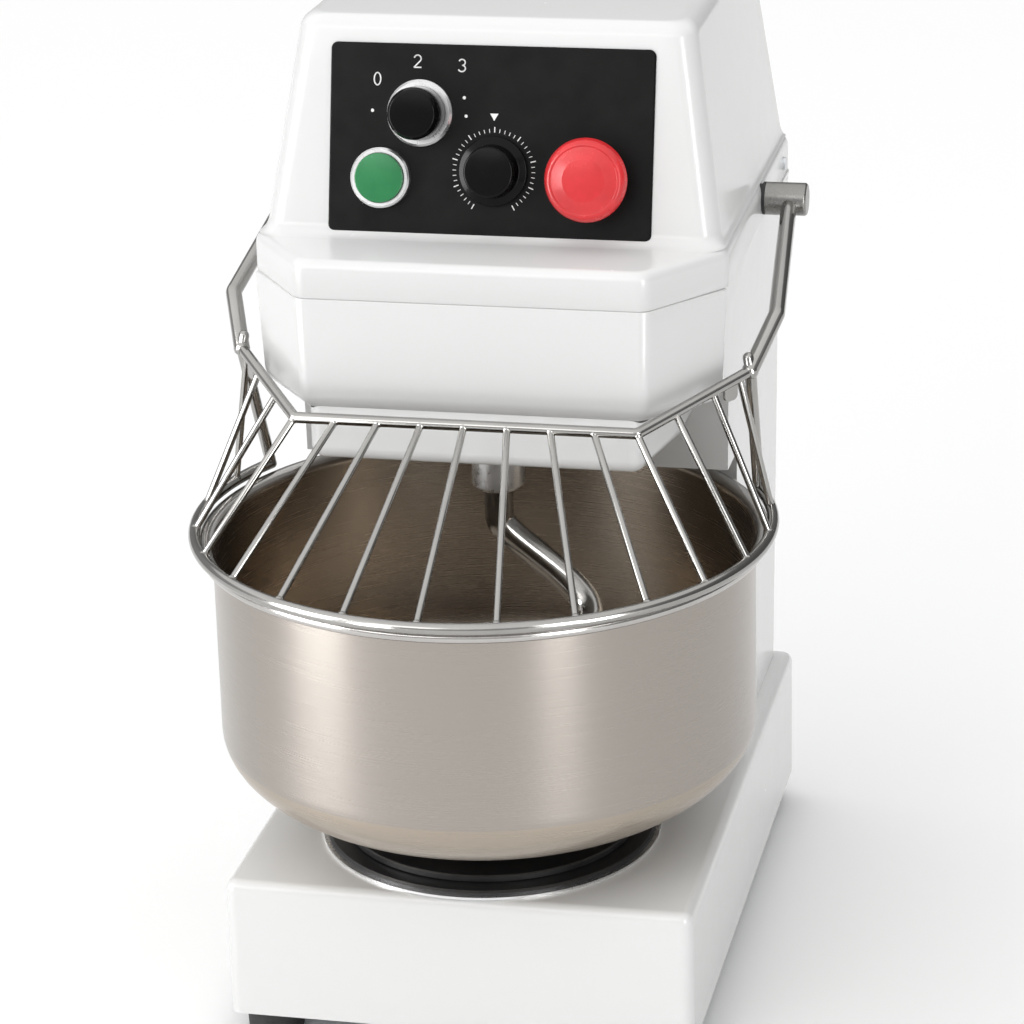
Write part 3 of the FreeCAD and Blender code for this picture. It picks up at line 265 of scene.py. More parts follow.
def moulding(name, colour, roughness, grain=900.0, depth=0.08, shine=0.5):
    """Moulded plastic with a fine skin and faint wear."""
    n = Nodes(name)
    n.set(IOR=1.48, Specular_IOR_Level=shine)
    wear = n.noise(45.0, 5.0, roughness=0.6)
    skin = n.bump(n.noise(grain, 2.0), depth, 0.0003)
    tint = n.mixed(n.between(wear, 0, 1), dimmed(colour, 0.86), dimmed(colour, 1.1))
    return n.finish(tint, n.between(wear, roughness * 0.8, roughness * 1.25), skin)


def rubber(name, colour):
    """Matt rubber with a mottled skin."""
    n = Nodes(name)
    n.set(IOR=1.45)
    mottle = n.noise(120.0, 5.0)
    skin = n.bump(n.noise(700.0, 3.0), 0.25, 0.0004)
    tint = n.mixed(n.between(mottle, 0, 1), dimmed(colour, 0.75), dimmed(colour, 1.35))
    return n.finish(tint, n.between(mottle, 0.55, 0.78), skin)


def spun_steel(name, outside, painted_light_inner_colour, centre, inside_r, roughness):
    """Sheet steel brushed round an upright axis, with one colour outside a radius and a second colour
    nearer the axis, the second being painted light that makes the same sheet look lighter and warmer in the
    bowl.
    """
    n = Nodes(name)
    n.set(Metallic=1.0, Anisotropic=0.7, Anisotropic_Rotation=0.25)
    around = n.round_axis(centre, (1.6, 1400.0, 1400.0))
    lines = n.noise(1.0, 4.0, around, 0.6)
    fine = n.noise(1.0, 2.0, n.round_axis(centre, (4.0, 2600.0, 2600.0)))
    smudge = n.noise(14.0, 4.0)
    outer_tint, painted_light_inner_tint = [
        n.mixed(n.between(lines, 0, 1), dimmed(colour, 0.98), dimmed(colour, 1.015))
        for colour in (outside, painted_light_inner_colour)]
    # Painted light: the sheet nearer the axis than this radius takes the lighter, warmer second colour.
    painted_light_mask = n.math("LESS_THAN", n.polar(centre)[1], inside_r * MM)
    tint = n.mixed(painted_light_mask, outer_tint, painted_light_inner_tint)
    both = n.math("ADD", n.math("MULTIPLY", lines, 0.75), n.math("MULTIPLY", smudge, 0.25))
    grain = n.bump(fine, 0.008, 0.0001, n.bump(lines, 0.003, 0.0001))
    tangent = n.add("ShaderNodeTangent", direction_type="RADIAL", axis="Z")
    n.link(tangent.outputs[0], n.shader.inputs["Tangent"])
    return n.finish(tint, n.between(both, roughness * 0.9, roughness * 1.12), grain)


def polished_steel(name, colour, roughness):
    """Bright steel with faint polishing marks and finger haze."""
    n = Nodes(name)
    n.set(Metallic=1.0)
    haze = n.noise(35.0, 4.0)
    marks = n.noise(260.0, 4.0, roughness=0.7)
    tint = n.mixed(n.between(haze, 0, 1), dimmed(colour, 0.94), dimmed(colour, 1.03))
    worn = n.math("ADD", n.math("MULTIPLY", haze, 0.5), n.math("MULTIPLY", marks, 0.5))
    return n.finish(tint, n.between(worn, roughness * 0.7, roughness * 1.5), n.bump(marks, 0.03, 0.0002))


def machined(name, colour, roughness, metallic=1.0, grain=500.0, depth=0.1):
    """Turned, plated or cast metal inside the machine."""
    n = Nodes(name)
    n.set(Metallic=metallic)
    pores = n.noise(grain, 5.0, roughness=0.65)
    stain = n.noise(25.0, 4.0)
    tint = n.mixed(n.between(stain, 0, 1), dimmed(colour, 0.82), dimmed(colour, 1.08))
    return n.finish(tint, n.between(pores, roughness * 0.8, roughness * 1.2), n.bump(pores, depth, 0.0003))


WHITE = enamel("white_enamel", (0.79, 0.793, 0.788), 0.26)
# The bowl's sheet, with painted light in the bowl: the second colour, lighter and warmer than the first,
# stands for how the bowl looks under the lamps.
BOWL_STEEL = spun_steel("bowl_steel", (0.37, 0.338, 0.308), (0.41, 0.358, 0.3), (0.0, BOWL_Y),
                        BOWL_INNER_R + BOWL_WALL / 2, 0.26)
RIM_STEEL = polished_steel("rim_steel", (0.5, 0.485, 0.47), 0.15)
BRIGHT = polished_steel("bright_rod", (0.36, 0.353, 0.34), 0.13)
SLEEVE_STEEL = polished_steel("sleeve_steel", (0.27, 0.265, 0.255), 0.27)
HOOK_STEEL = polished_steel("hook_steel", (0.36, 0.35, 0.335), 0.17)
TRIM = polished_steel("bright_trim", (0.72, 0.72, 0.72), 0.28)
PANEL_BLACK = moulding("panel_black", (0.007, 0.007, 0.0068), 0.4, 1600.0, 0.1, shine=0.12)
RING_BLACK = moulding("ring_black", (0.02, 0.02, 0.021), 0.38)
KNOB_BLACK = moulding("knob_black", (0.003, 0.003, 0.003), 0.16, shine=0.14)
MATT_BLACK = moulding("matt_black", (0.022, 0.022, 0.023), 0.5)
GREEN = moulding("button_green", (0.022, 0.23, 0.075), 0.22)
RED = moulding("button_red", (0.71, 0.03, 0.035), 0.24)
STEM_GREY = moulding("stem_grey", (0.3, 0.3, 0.3), 0.4)
BOX_GREY = moulding("box_grey", (0.5, 0.5, 0.5), 0.45)
PRINT = moulding("print_white", (0.88, 0.88, 0.87), 0.5)
FOOT_RUBBER = rubber("foot_rubber", (0.022, 0.022, 0.022))
BELT_RUBBER = rubber("belt_rubber", (0.028, 0.028, 0.028))
TURNED = machined("turned_steel", (0.56, 0.56, 0.55), 0.28)
ZINC = machined("zinc_plate", (0.6, 0.62, 0.64), 0.33, grain=120.0, depth=0.03)
CAST = machined("cast_iron", (0.22, 0.23, 0.24), 0.55, grain=650.0, depth=0.3)
PULLEY_METAL = machined("pulley_metal", (0.6, 0.61, 0.62), 0.32)
MOTOR_PAINT = machined("motor_paint", (0.2, 0.24, 0.28), 0.42, metallic=0.0, depth=0.2)

NODE_MATERIALS = {
    WHITE: ["head_top_cover", "head_lower_casing", "head_skirt", "column_housing", "base_housing",
            "rear_cover"],
    BOWL_STEEL: ["bowl"],
    BRIGHT: ["guard_hoop", "guard_top_bar", "guard_wires", "guard_arms", "guard_legs", "guard_tabs"],
    SLEEVE_STEEL: ["guard_sleeves", "guard_end_caps"],
    HOOK_STEEL: ["spiral_hook"],
    TURNED: ["guard_shaft", "spiral_shaft", "layshaft", "motor_rotor", "ball_bearings"],
    ZINC: ["head_frame_plate", "column_posts", "base_plate", "cover_screws", "foot_bolts", "bowl_bolts"],
    CAST: ["bowl_bearing_housing", "spiral_bearing_housing", "idler_bearing_housing",
           "layshaft_bearings"],
    PULLEY_METAL: ["bowl_pulley", "spiral_pulley", "layshaft_pulleys", "idler_pulleys"],
    MOTOR_PAINT: ["motor_body"],
    BELT_RUBBER: ["motor_belt", "spiral_belt", "base_belt", "bowl_belt"],
    FOOT_RUBBER: ["rubber_feet"],
    RING_BLACK: ["base_ring", "turntable"],
    # The spiral's collar takes the brighter trim steel as painted light: a lift for a part that sits in
    # shade between the nose and the bowl.
    TRIM: ["ring_trim", "control_bezels", "spiral_collar"],
    PANEL_BLACK: ["control_panel"],
    KNOB_BLACK: ["selector_knob", "timer_knob"],
    MATT_BLACK: ["guard_bushings", "cable_gland", "safety_sensor", "timer_unit", "contact_blocks",
                 "estop_collar"],
    GREEN: ["start_button"],
    RED: ["estop_mushroom"],
    STEM_GREY: ["estop_stem"],
    BOX_GREY: ["control_box"],
}


def paint_nodes():
    """Give every carried CAD node its material."""
    for material, names in NODE_MATERIALS.items():
        for name in names:
            mesh = nodes[name].data
            mesh.materials.clear()
            mesh.materials.append(material)


# --- Mesh helpers ---------------------------------------------------------------------------------
SHARP_ANGLE = math.radians(32)         # edges bent by more than this stay sharp
DOME_ANGLES = (20, 40, 60, 80)         # degrees of the rings that round off a bar's end
BEND_STEPS = 6                         # spans of a rounded corner of a bar or of a turned section
ON_AXIS = 1e-6
SAME_PLACE = 0.05                      # points of a smooth line nearer than this are one


def piece(name, vertices, faces, material, body, slot, *replaced):
    """A mesh piece from points in millimetres, riding on a body."""
    mesh = bpy.data.meshes.new(name)
    mesh.from_pydata([Vector(v) * MM for v in vertices], [], faces)
    bm = bmesh.new()
    bm.from_mesh(mesh)
    bmesh.ops.recalc_face_normals(bm, faces=bm.faces)
    bm.to_mesh(mesh)
    bm.free()
    mesh.polygons.foreach_set("use_smooth", [True] * len(mesh.polygons))
    mesh.set_sharp_from_angle(angle=SHARP_ANGLE)
    mesh.materials.append(material)
    obj = bpy.data.objects.new(name, mesh)
    bpy.context.scene.collection.objects.link(obj)
    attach(obj, body)
    for node in replaced:
        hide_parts(node)
    return obj


class Shape:
    """Vertices and faces gathered from several simple bodies, before they become one piece."""

    def __init__(self):
        self.vertices = []
        self.faces = []

    def add(self, vertices, faces, matrix=None):
        start = len(self.vertices)
        for vertex in vertices:
            point = Vector(vertex)
            self.vertices.append(matrix @ point if matrix else point)
        self.faces += [[index + start for index in face] for face in faces]
        return self

    def mirrored(self):
        """The same bodies and their mirror images across the machine's middle plane."""
        both = Shape()
        both.add(self.vertices, self.faces)
        both.add([(-v[0], v[1], v[2]) for v in self.vertices], [face[::-1] for face in self.faces])
        return both

    def piece(self, name, material, body, slot, *replaced):
        return piece(name, self.vertices, self.faces, material, body, slot, *replaced)


def skin(rings):
    """Quads between equal rings of points, with a cap on the first ring and on the last."""
    size = len(rings[0])
    last = (len(rings) - 1) * size
    vertices = [point for ring in rings for point in ring]
    faces = []
    for low in range(0, last, size):
        high = low + size
        for index in range(size):
            after = (index + 1) % size
            faces.append([low + index, low + after, high + after, high + index])
    faces.append(list(range(size))[::-1])
    faces.append([index + last for index in range(size)])
    return vertices, faces


def eased(points, radii):
    """A flat polyline with each inner corner rounded by an arc of its radius."""
    out = [Vector(points[0])]
    for before, corner, after, radius in zip(points, points[1:], points[2:], radii):
        out += arc_at(Vector(before), Vector(corner), Vector(after), radius, BEND_STEPS)
    out.append(Vector(points[-1]))
    return out


def arc_at(before, corner, after, radius, steps):
    """Points of the arc that rounds one corner."""
    back = (before - corner).normalized()
    ahead = (after - corner).normalized()
    half = back.angle(ahead) / 2
    if radius <= 0 or half > math.radians(89.5):
        return [corner]
    reach = radius / math.tan(half)
    start = corner + back * reach
    end = corner + ahead * reach
    centre = corner + (back + ahead).normalized() * (radius / math.sin(half))
    first = start - centre
    last = end - centre
    turn = first.angle(last)
    points = []
    for step in range(steps + 1):
        share = step / steps
        weight = math.sin(turn)
        points.append(centre + first * (math.sin((1 - share) * turn) / weight)
                      + last * (math.sin(share * turn) / weight))
    return points


def turned(radius, height, steps):
    """Points of a level circle about +Z."""
    angles = [2 * math.pi * step / steps for step in range(steps)]
    return [(radius * math.cos(angle), radius * math.sin(angle), height) for angle in angles]


def lathe(profile, steps):
    """A body turned about +Z from (radius, height) points. A point on the axis closes it."""
    vertices = []
    faces = []
    rows = []
    for radius, height in profile:
        ring = [(0, 0, height)] if radius < ON_AXIS else turned(radius, height, steps)
        rows.append(list(range(len(vertices), len(vertices) + len(ring))))
        vertices += ring
    for low, high in zip(rows, rows[1:]):
        for step in range(steps):
            after = (step + 1) % steps
            if len(low) == 1:
                faces.append([low[0], high[after], high[step]])
            elif len(high) == 1:
                faces.append([low[step], low[after], high[0]])
            else:
                faces.append([low[step], low[after], high[after], high[step]])
    return vertices, faces


def ring_lathe(profile, steps):
    """A ring turned about +Z from a closed (radius, height) outline."""
    vertices = [point for radius, height in profile for point in turned(radius, height, steps)]
    faces = []
    for level in range(len(profile)):
        low = level * steps
        high = (level + 1) % len(profile) * steps
        for step in range(steps):
            after = (step + 1) % steps
            faces.append([low + step, low + after, high + after, high + step])
    return vertices, faces


def circle(centre, across, up, radius, sides):
    """Points of a circle in the plane of two unit vectors."""
    turns = [2 * math.pi * step / sides for step in range(sides)]
    return [centre + (across * math.cos(turn) + up * math.sin(turn)) * radius for turn in turns]


def sweep(path, radius, sides=20):
    """A round bar with domed ends along a list of points."""
    path = [Vector(point) for point in path]
    headings = []
    for index in range(len(path)):
        before = path[max(index - 1, 0)]
        after = path[min(index + 1, len(path) - 1)]
        headings.append((after - before).normalized())
    normal = headings[0].orthogonal().normalized()
    frames = []
    for heading in headings:
        normal = (normal - heading * normal.dot(heading)).normalized()
        frames.append((normal.copy(), heading.cross(normal)))

    def dome_ring(end, angle, outwards):
        """One ring of the dome on the bar's first (0) or last (-1) point."""
        tilt = math.radians(angle)
        centre = path[end] + headings[end] * (outwards * radius * math.sin(tilt))
        return circle(centre, *frames[end], radius * math.cos(tilt), sides)

    rings = [dome_ring(0, angle, -1) for angle in reversed(DOME_ANGLES)]
    rings += [circle(point, *axes, radius, sides) for point, axes in zip(path, frames)]
    rings += [dome_ring(-1, angle, 1) for angle in DOME_ANGLES]
    return skin(rings)


def smooth_line(points, per_span=10):
    """Points of a cubic B-spline that starts and ends at the first and last point."""
    points = [Vector(point) for point in points]
    padded = [points[0]] * 2 + points + [points[-1]] * 2
    line = []
    for first, second, third, fourth in zip(padded, padded[1:], padded[2:], padded[3:]):
        for step in range(per_span):
            t = step / per_span
            line.append((first * (1 - t) ** 3 + second * (3 * t ** 3 - 6 * t ** 2 + 4)
                         + third * (-3 * t ** 3 + 3 * t ** 2 + 3 * t + 1) + fourth * t ** 3) / 6)
    line.append(points[-1])
    kept = [line[0]]
    for point in line[1:]:
        if (point - kept[-1]).length > SAME_PLACE:
            kept.append(point)
    return kept


# --- Casings --------------------------------------------------------------------------------------
CORNER_STEPS = 8                       # spans of each rounded corner, in plan and in section


def half_outline(corners, radii, start, end):
    """The +X half of an outline in plan, from its front middle to its rear middle.

    A corner on a straight run gets as many points as a rounded one, so all rings match.
    """
    points = [start] + corners + [end]
    out = [start]
    for before, corner, after, radius in zip(points, points[1:], points[2:], radii):
        before, corner, after = Vector(before), Vector(corner), Vector(after)
        arc = arc_at(before, corner, after, radius, CORNER_STEPS)
        if len(arc) == 1:
            back = (before - corner).normalized() * radius
            ahead = (after - corner).normalized() * radius
            arc = [corner + back * (1 - step / CORNER_STEPS * 2) if step < CORNER_STEPS / 2
                   else corner + ahead * (step / CORNER_STEPS * 2 - 1)
                   for step in range(CORNER_STEPS + 1)]
        out += [tuple(point) for point in arc]
    out.append(end)
    return out


def level(corners, radii, z):
    """A whole closed ring at one height from the corners of its +X half."""
    start = (0.0, corners[0][1])
    end = (0.0, corners[-1][1])
    half = half_outline(corners, radii, start, end)
    whole = half + [(-x, y) for x, y in reversed(half[1:-1])]
    return [(x, y, z) for x, y in whole]


def toward(low, high, share):
    """The value at a share of the way from low to high."""
    return low + (high - low) * share


def head_flange(inset_front, inset_side, z):
    """The top cover's flange at one height, drawn in at the front and at the sides."""
    front, side, rear = HEAD_FRONT, HEAD_SIDE, HEAD_REAR
    corners = [(front[0] - inset_front * 0.6, front[1] + inset_front),
               (side[0] - inset_side, side[1] + inset_side * 0.3),
               (rear[0] - inset_side, rear[1])]
    return level(corners, FLANGE_CORNER_R, z)


def face_y(z):
    """Y of the sloping face at one height."""
    return FACE_FOOT_Y + (z - SHOULDER_Z) * math.tan(FACE_TILT)


def head_upper(grow_front, grow_side, z, rear_inset=0.0):
    """The upper body's outline, widened at its foot or drawn in at its top edge."""
    draft = (UPPER_HALF_W - TOP_HALF_W) / (TOP_Z - SHOULDER_Z)
    half = UPPER_HALF_W + grow_side - draft * (z - SHOULDER_Z)
    front_y = face_y(z) - grow_front
    lean = REAR_LEAN * max(z - SHOULDER_Z, 0) / (TOP_Z - SHOULDER_Z)
    rear_y = HEAD_REAR[1] - lean - rear_inset
    rear_half = half - UPPER_TAPER * (rear_y - FACE_FOOT_Y)
    corners = [(half - FACE_POINT_IN, front_y), (half, front_y), (rear_half, rear_y)]
    return level(corners, UPPER_CORNER_R, z)


def make_top_cover():
    """The top cover: a rounded flange that runs in a soft hollow into the sloping body."""
    under_inset = 8.0
    lip = 1.0                        # rounding of the edge at the seam
    edge_front, edge_side, edge_h = 7.0, 5.0, 7.0          # the flange's top edge
    hollow_front, hollow_side, hollow_h = 9.0, 3.0, 8.0    # the hollow at the body's foot
    crown = 9.0                      # rounding of the body's top edge
    quarter = [math.pi / 2 * step / CORNER_STEPS for step in range(CORNER_STEPS + 1)]
    rings = [head_flange(under_inset, under_inset, SEAM_Z + lip),
             head_flange(lip, lip, SEAM_Z + lip * 0.1),
             head_flange(lip * 0.3, lip * 0.3, SEAM_Z + lip * 0.5),
             head_flange(0, 0, SEAM_Z + lip * 1.4)]
    for angle in quarter:
        inward = 1 - math.cos(angle)
        rings.append(head_flange(edge_front * inward, edge_side * inward,
                                 SHOULDER_Z - edge_h * (1 - math.sin(angle))))
    for angle in quarter:
        outward = 1 - math.sin(angle)
        rings.append(head_upper(hollow_front * outward, hollow_side * outward,
                                SHOULDER_Z + hollow_h * (1 - math.cos(angle))))
    for share in (0.33, 0.67):
        rings.append(head_upper(0, 0, toward(SHOULDER_Z + hollow_h, TOP_Z - crown, share)))
    for angle in quarter:
        inset = crown * (1 - math.cos(angle))
        rings.append(head_upper(-inset, -inset, TOP_Z - crown * (1 - math.sin(angle)), inset))
    vertices, faces = skin(rings)
    piece("top_cover", vertices, faces, WHITE, "machine", "white_paint", "head_top_cover")


def make_nose():
    """The casing under the seam at the front, with soft lower edges."""
    foot = 13.0                      # rounding of the lower edge
    lip = 0.9                        # rounding of the edge at the seam
    rear_gap = 0.5                   # to the column's casing
    rear_bevel = (1.2, 3.0)

    def outline(inset, z):
        """The nose in plan at one height."""
        share = (SEAM_Z - z) / (SEAM_Z - NOSE_BOTTOM_Z)
        front_x = toward(HEAD_FRONT[0], NOSE_FOOT_FRONT[0], share) - inset
        front_y = toward(HEAD_FRONT[1], NOSE_FOOT_FRONT[1], share) + inset
        side_x = toward(HEAD_SIDE[0], NOSE_FOOT_HALF_W, share) - inset
        rear_y = HEAD_SIDE[1] - rear_gap
        corners = [(front_x, front_y), (side_x, rear_y - rear_bevel[1]), (side_x - rear_bevel[0], rear_y)]
        return level(corners, NOSE_CORNER_R, z)

    rings = []
    for step in range(CORNER_STEPS + 1):
        angle = math.pi / 2 * step / CORNER_STEPS
        rings.append(outline(foot * (1 - math.sin(angle)), NOSE_BOTTOM_Z + foot * (1 - math.cos(angle))))
    rings += [outline(0, SEAM_Z - lip), outline(lip * 0.3, SEAM_Z - lip * 0.3), outline(lip, SEAM_Z)]
    vertices, faces = skin(rings)
    piece("nose_casing", vertices, faces, WHITE, "machine", "white_paint", "head_lower_casing")


# --- Bowl and hook --------------------------------------------------------------------------------
BOWL_STEPS = 192


def at_bowl():
    """Carries a body drawn about +Z to the bowl's axis."""
    return Matrix.Translation((0, BOWL_Y, 0))


def lip_point(angle):
    """A point of the lip's arc, which carries the wall outwards to the rim's top."""
    lip = RIM_R - RIM_DEPTH / 2 - BOWL_INNER_R
    return (BOWL_INNER_R + lip * (1 - math.cos(angle)), RIM_TOP_Z - lip + lip * math.sin(angle))


LIP_SPLIT = math.radians(35.7)     # the wall's sheet ends here and the rolled rim begins


def bowl_profile():
    """The sheet's section from the floor's middle up to the lip, and back down outside."""
    outer = BOWL_INNER_R + BOWL_WALL
    foot_z = BOWL_FLOOR_Z + BOWL_DISH_H
    steps = 20

    def dish(half_width, half_height):
        """The quarter ellipse from the flat floor up to the wall."""
        angles = [math.pi / 2 * step / steps for step in range(steps + 1)]
        return [(BOWL_FLAT_R + half_width * math.sin(a), foot_z - half_height * math.cos(a))
                for a in angles]

    points = [(0, BOWL_FLOOR_Z)] + dish(BOWL_INNER_R - BOWL_FLAT_R, BOWL_DISH_H)
    points += [lip_point(LIP_SPLIT * step / 4) for step in range(5)]
    points += dish(outer - BOWL_FLAT_R, BOWL_DISH_H + BOWL_WALL)[::-1]
    points.append((0, BOWL_FLOOR_Z - BOWL_WALL))
    return points


def rim_profile():
    """The rolled rim's closed section: up the lip, round the roll, and back to the wall."""
    outer = BOWL_INNER_R + BOWL_WALL
    roll = RIM_DEPTH / 2
    lip_steps, roll_steps, roll_sweep = 8, 24, 250
    points = [lip_point(toward(LIP_SPLIT, math.pi / 2, step / lip_steps)) for step in range(lip_steps + 1)]
    for step in range(1, roll_steps + 1):
        angle = math.radians(90 - roll_sweep * step / roll_steps)
        points.append((RIM_R - roll + roll * math.cos(angle), RIM_TOP_Z - roll + roll * math.sin(angle)))
    points += [(outer + 0.9, RIM_TOP_Z - RIM_DEPTH + 1.6), (outer, RIM_TOP_Z - RIM_DEPTH + 1.2)]
    return points


def make_bowl():
    """The dished sheet and its rolled rim."""
    bowl = Shape().add(*lathe(bowl_profile(), BOWL_STEPS), at_bowl())
    bowl.piece("mixing_bowl", BOWL_STEEL, "bowl", "stainless_sheet", "bowl")
    rim = Shape().add(*ring_lathe(rim_profile(), BOWL_STEPS), at_bowl())
    rim.piece("rolled_rim", RIM_STEEL, "bowl", "stainless_sheet", "bowl_rim")


def make_hook():
    """One bar that comes straight down, bends outwards and winds downwards round the bowl's middle."""
    corner_r = HOOK_R / math.cos(math.radians(HOOK_STEP / 2)) * HOOK_CORNER_OUT
    points = [(0, SPIRAL_Y, z) for z in SHANK_Z]
    for index in range(HOOK_CORNERS):
        angle = math.radians(HOOK_START - HOOK_STEP * index)
        points.append((corner_r * math.cos(angle), SPIRAL_Y + corner_r * math.sin(angle),
                       toward(HOOK_TOP_Z, HOOK_END_Z, index / (HOOK_CORNERS - 1))))
    vertices, faces = sweep(smooth_line(points), HOOK_BAR_R, 40)
    Shape().add(vertices, faces).piece("hook_bar", HOOK_STEEL, "spiral", "polished_hook", "spiral_hook")


# --- Guard ----------------------------------------------------------------------------------------
def hoop_point(angle):
    """The point of the hoop's middle line at an angle in degrees from +X."""
    radians = math.radians(angle)
    return Vector((HOOP_R * math.cos(radians), BOWL_Y + HOOP_R * math.sin(radians), HOOP_Z))


BAR_WELD = (0.012, 0.8)                # share of the wire's length in from its end, and how proud it is
HOOP_WELD = (0.016, 1.1)
CORNER_WIRE = 4                        # this wire, counted from the middle one, starts at the corner
SLANT_SHARES = {5: 0.33, 6: 0.66, 7: 0.9}      # where the wires beyond it start, from corner to node


def bar_point(index):
    """Where a wire leaves the top bar. The middle wire is 0."""
    side = 1 if index > 0 else -1
    step = abs(index)
    if step <= CORNER_WIRE:
        return Vector((GUARD_CORNER[0] * index / CORNER_WIRE, GUARD_CORNER[1], GUARD_CORNER[2]))
    share = SLANT_SHARES[step]
    point = Vector(GUARD_CORNER).lerp(Vector(GUARD_NODE), share)
    return Vector((side * point.x, point.y, point.z))


def mitred(points, radius):
    """A bar along straight runs with its corners bent as tightly as the bar allows."""
    line = [Vector(points[0])]
    for before, corner, after in zip(points, points[1:], points[2:]):
        line += arc_at(Vector(before), Vector(corner), Vector(after), radius * 1.02, BEND_STEPS)
    line.append(Vector(points[-1]))
    return sweep(line, radius, 24)


def weld(centre, size):
    """A small smooth bead where two rods meet."""
    angles = [math.pi * step / 6 for step in range(7)]
    vertices, faces = lathe([(size * math.sin(angle), -size * math.cos(angle)) for angle in angles], 12)
    return vertices, faces, Matrix.Translation(centre)


def make_guard():
    """Hoop, top bar, legs, arms and fifteen wires as smooth rods, with a weld bead at each joint."""
    hoop = Shape()
    hoop_steps = 120
    hoop_angles = [LEG_ANGLE - (180 + 2 * LEG_ANGLE) * step / hoop_steps for step in range(hoop_steps + 1)]
    hoop.add(*sweep([hoop_point(angle) for angle in hoop_angles], HOOP_TUBE_R, 24))
    hoop.piece("hoop", BRIGHT, "guard", "polished_rod", "guard_hoop")

    node, corner = Vector(GUARD_NODE), Vector(GUARD_CORNER)
    tip = node + Vector(GUARD_TIP)
    flip = Matrix.Scale(-1, 3, Vector((1, 0, 0)))
    route = [flip @ tip, flip @ node, flip @ corner, corner, node, tip]
    top_bar = Shape().add(*mitred(route, BAR_TUBE_R))
    top_bar.piece("top_bar", BRIGHT, "guard", "polished_rod", "guard_top_bar")

    arm = Shape()
    into_sleeve = 6.0                # the arm's end stands this far in front of the pivot's axis
    rise = into_sleeve / (PIVOT_Y - GUARD_BEND[1])
    top = Vector((GUARD_ARM_TOP_X, PIVOT_Y - into_sleeve, toward(PIVOT_Z, GUARD_BEND[2], rise)))
    arm.add(*mitred([top, GUARD_BEND, node], ARM_TUBE_R))
    arm.add(*weld(node, ARM_TUBE_R + 0.3))
    arm.mirrored().piece("side_arms", BRIGHT, "guard", "polished_rod", "guard_arms")

    leg = Shape()
    leg.add(*sweep([node, hoop_point(LEG_ANGLE)], LEG_TUBE_R, 20))
    leg.mirrored().piece("legs", BRIGHT, "guard", "polished_rod", "guard_legs")

    wires = Shape()
    for index in range(-WIRES_EACH_SIDE, WIRES_EACH_SIDE + 1):
        start, end = bar_point(index), hoop_point(-90 + WIRE_STEP * index)
        wires.add(*sweep([start, end], WIRE_R, 16))
        wires.add(*weld(start.lerp(end, BAR_WELD[0]), WIRE_R + BAR_WELD[1]))
        wires.add(*weld(end.lerp(start, HOOP_WELD[0]), WIRE_R + HOOP_WELD[1]))
    wires.piece("wires", BRIGHT, "guard", "polished_rod", "guard_wires")


# --- Control panel --------------------------------------------------------------------------------
def panel_matrix(place):
    """Carries a body drawn about +Z to a place on the panel, with its Z pointing out."""
    centre = Vector((0, face_y(PANEL_CENTRE_Z), PANEL_CENTRE_Z))
    turn = Matrix.Rotation(math.pi / 2 - FACE_TILT, 4, "X")
    lift = Matrix.Translation((place[0], place[1], PANEL_T))
    return Matrix.Translation(centre) @ turn @ lift


def on_panel(name, profile, radii, place, material, body, slot, node, steps=96):
    """A turned control in place of its CAD node, from its section and the radii of its inner corners."""
    points = [tuple(point) for point in eased(profile, radii)]
    Shape().add(*lathe(points, steps), panel_matrix(place)).piece(name, material, body, slot, node)


def make_controls():
    """The two knobs, the start button and the emergency stop, from (radius, height) sections."""
    on_panel("selector_cap",
             [(0, -16), (6, -16), (6, 4.6), (18, 4.6), (17.2, 21.5), (15.2, 25), (0, 25.2)],
             (0, 0, 0.8, 1.2, 1.2, 40),
             SELECTOR_UV, KNOB_BLACK, "selector", "knob_black", "selector_knob")
    on_panel("timer_cap",
             [(0, -9), (3, -9), (3, 1.1), (23, 1.1), (23, 3.6), (17.6, 5.2), (16.6, 18.5), (0, 18.8)],
             (0, 0, 0.6, 0.9, 1.0, 1.6, 2.2),
             TIMER_UV, KNOB_BLACK, "timer", "knob_black", "timer_knob")
    on_panel("start_cap",
             [(0, -16), (6, -16), (6, 5), (16.4, 5), (16.4, 9), (0, 9.3)],
             (0, 0, 0.4, 0.8, 1.3),
             START_UV, GREEN, "start", "button_green", "start_button")
    on_panel("stop_cap",
             [(0, 10), (14, 10), (26, 12.8), (27.6, 17), (26, 22.2), (22.6, 24.2), (22.0, 23.6),
              (14, 26.1), (0, 27)],
             (0, 2, 1.2, 6, 2, 0.5, 0.6, 60),
             ESTOP_UV, RED, "estop_head", "button_red", "estop_mushroom", 128)


def slab(shape, points):
    """A thin layer of print on the panel from its outline."""
    count = len(points)
    low = [Vector((p[0], p[1], -0.05)) for p in points]
    high = [Vector((p[0], p[1], PRINT_T)) for p in points]
    faces = [list(range(count))[::-1], list(range(count, 2 * count))]
    faces += [[k, (k + 1) % count, (k + 1) % count + count, k + count] for k in range(count)]
    shape.add(low + high, faces, panel_matrix((0, 0)))


def stroke(shape, start, end, half_width, overlap=0.0):
    """A printed straight line that runs past both of its points by the overlap."""
    along = (end - start).normalized()
    side = Vector((-along.y, along.x, 0)) * half_width
    past = along * overlap
    slab(shape, [start - past - side, end + past - side, end + past + side, start - past + side])


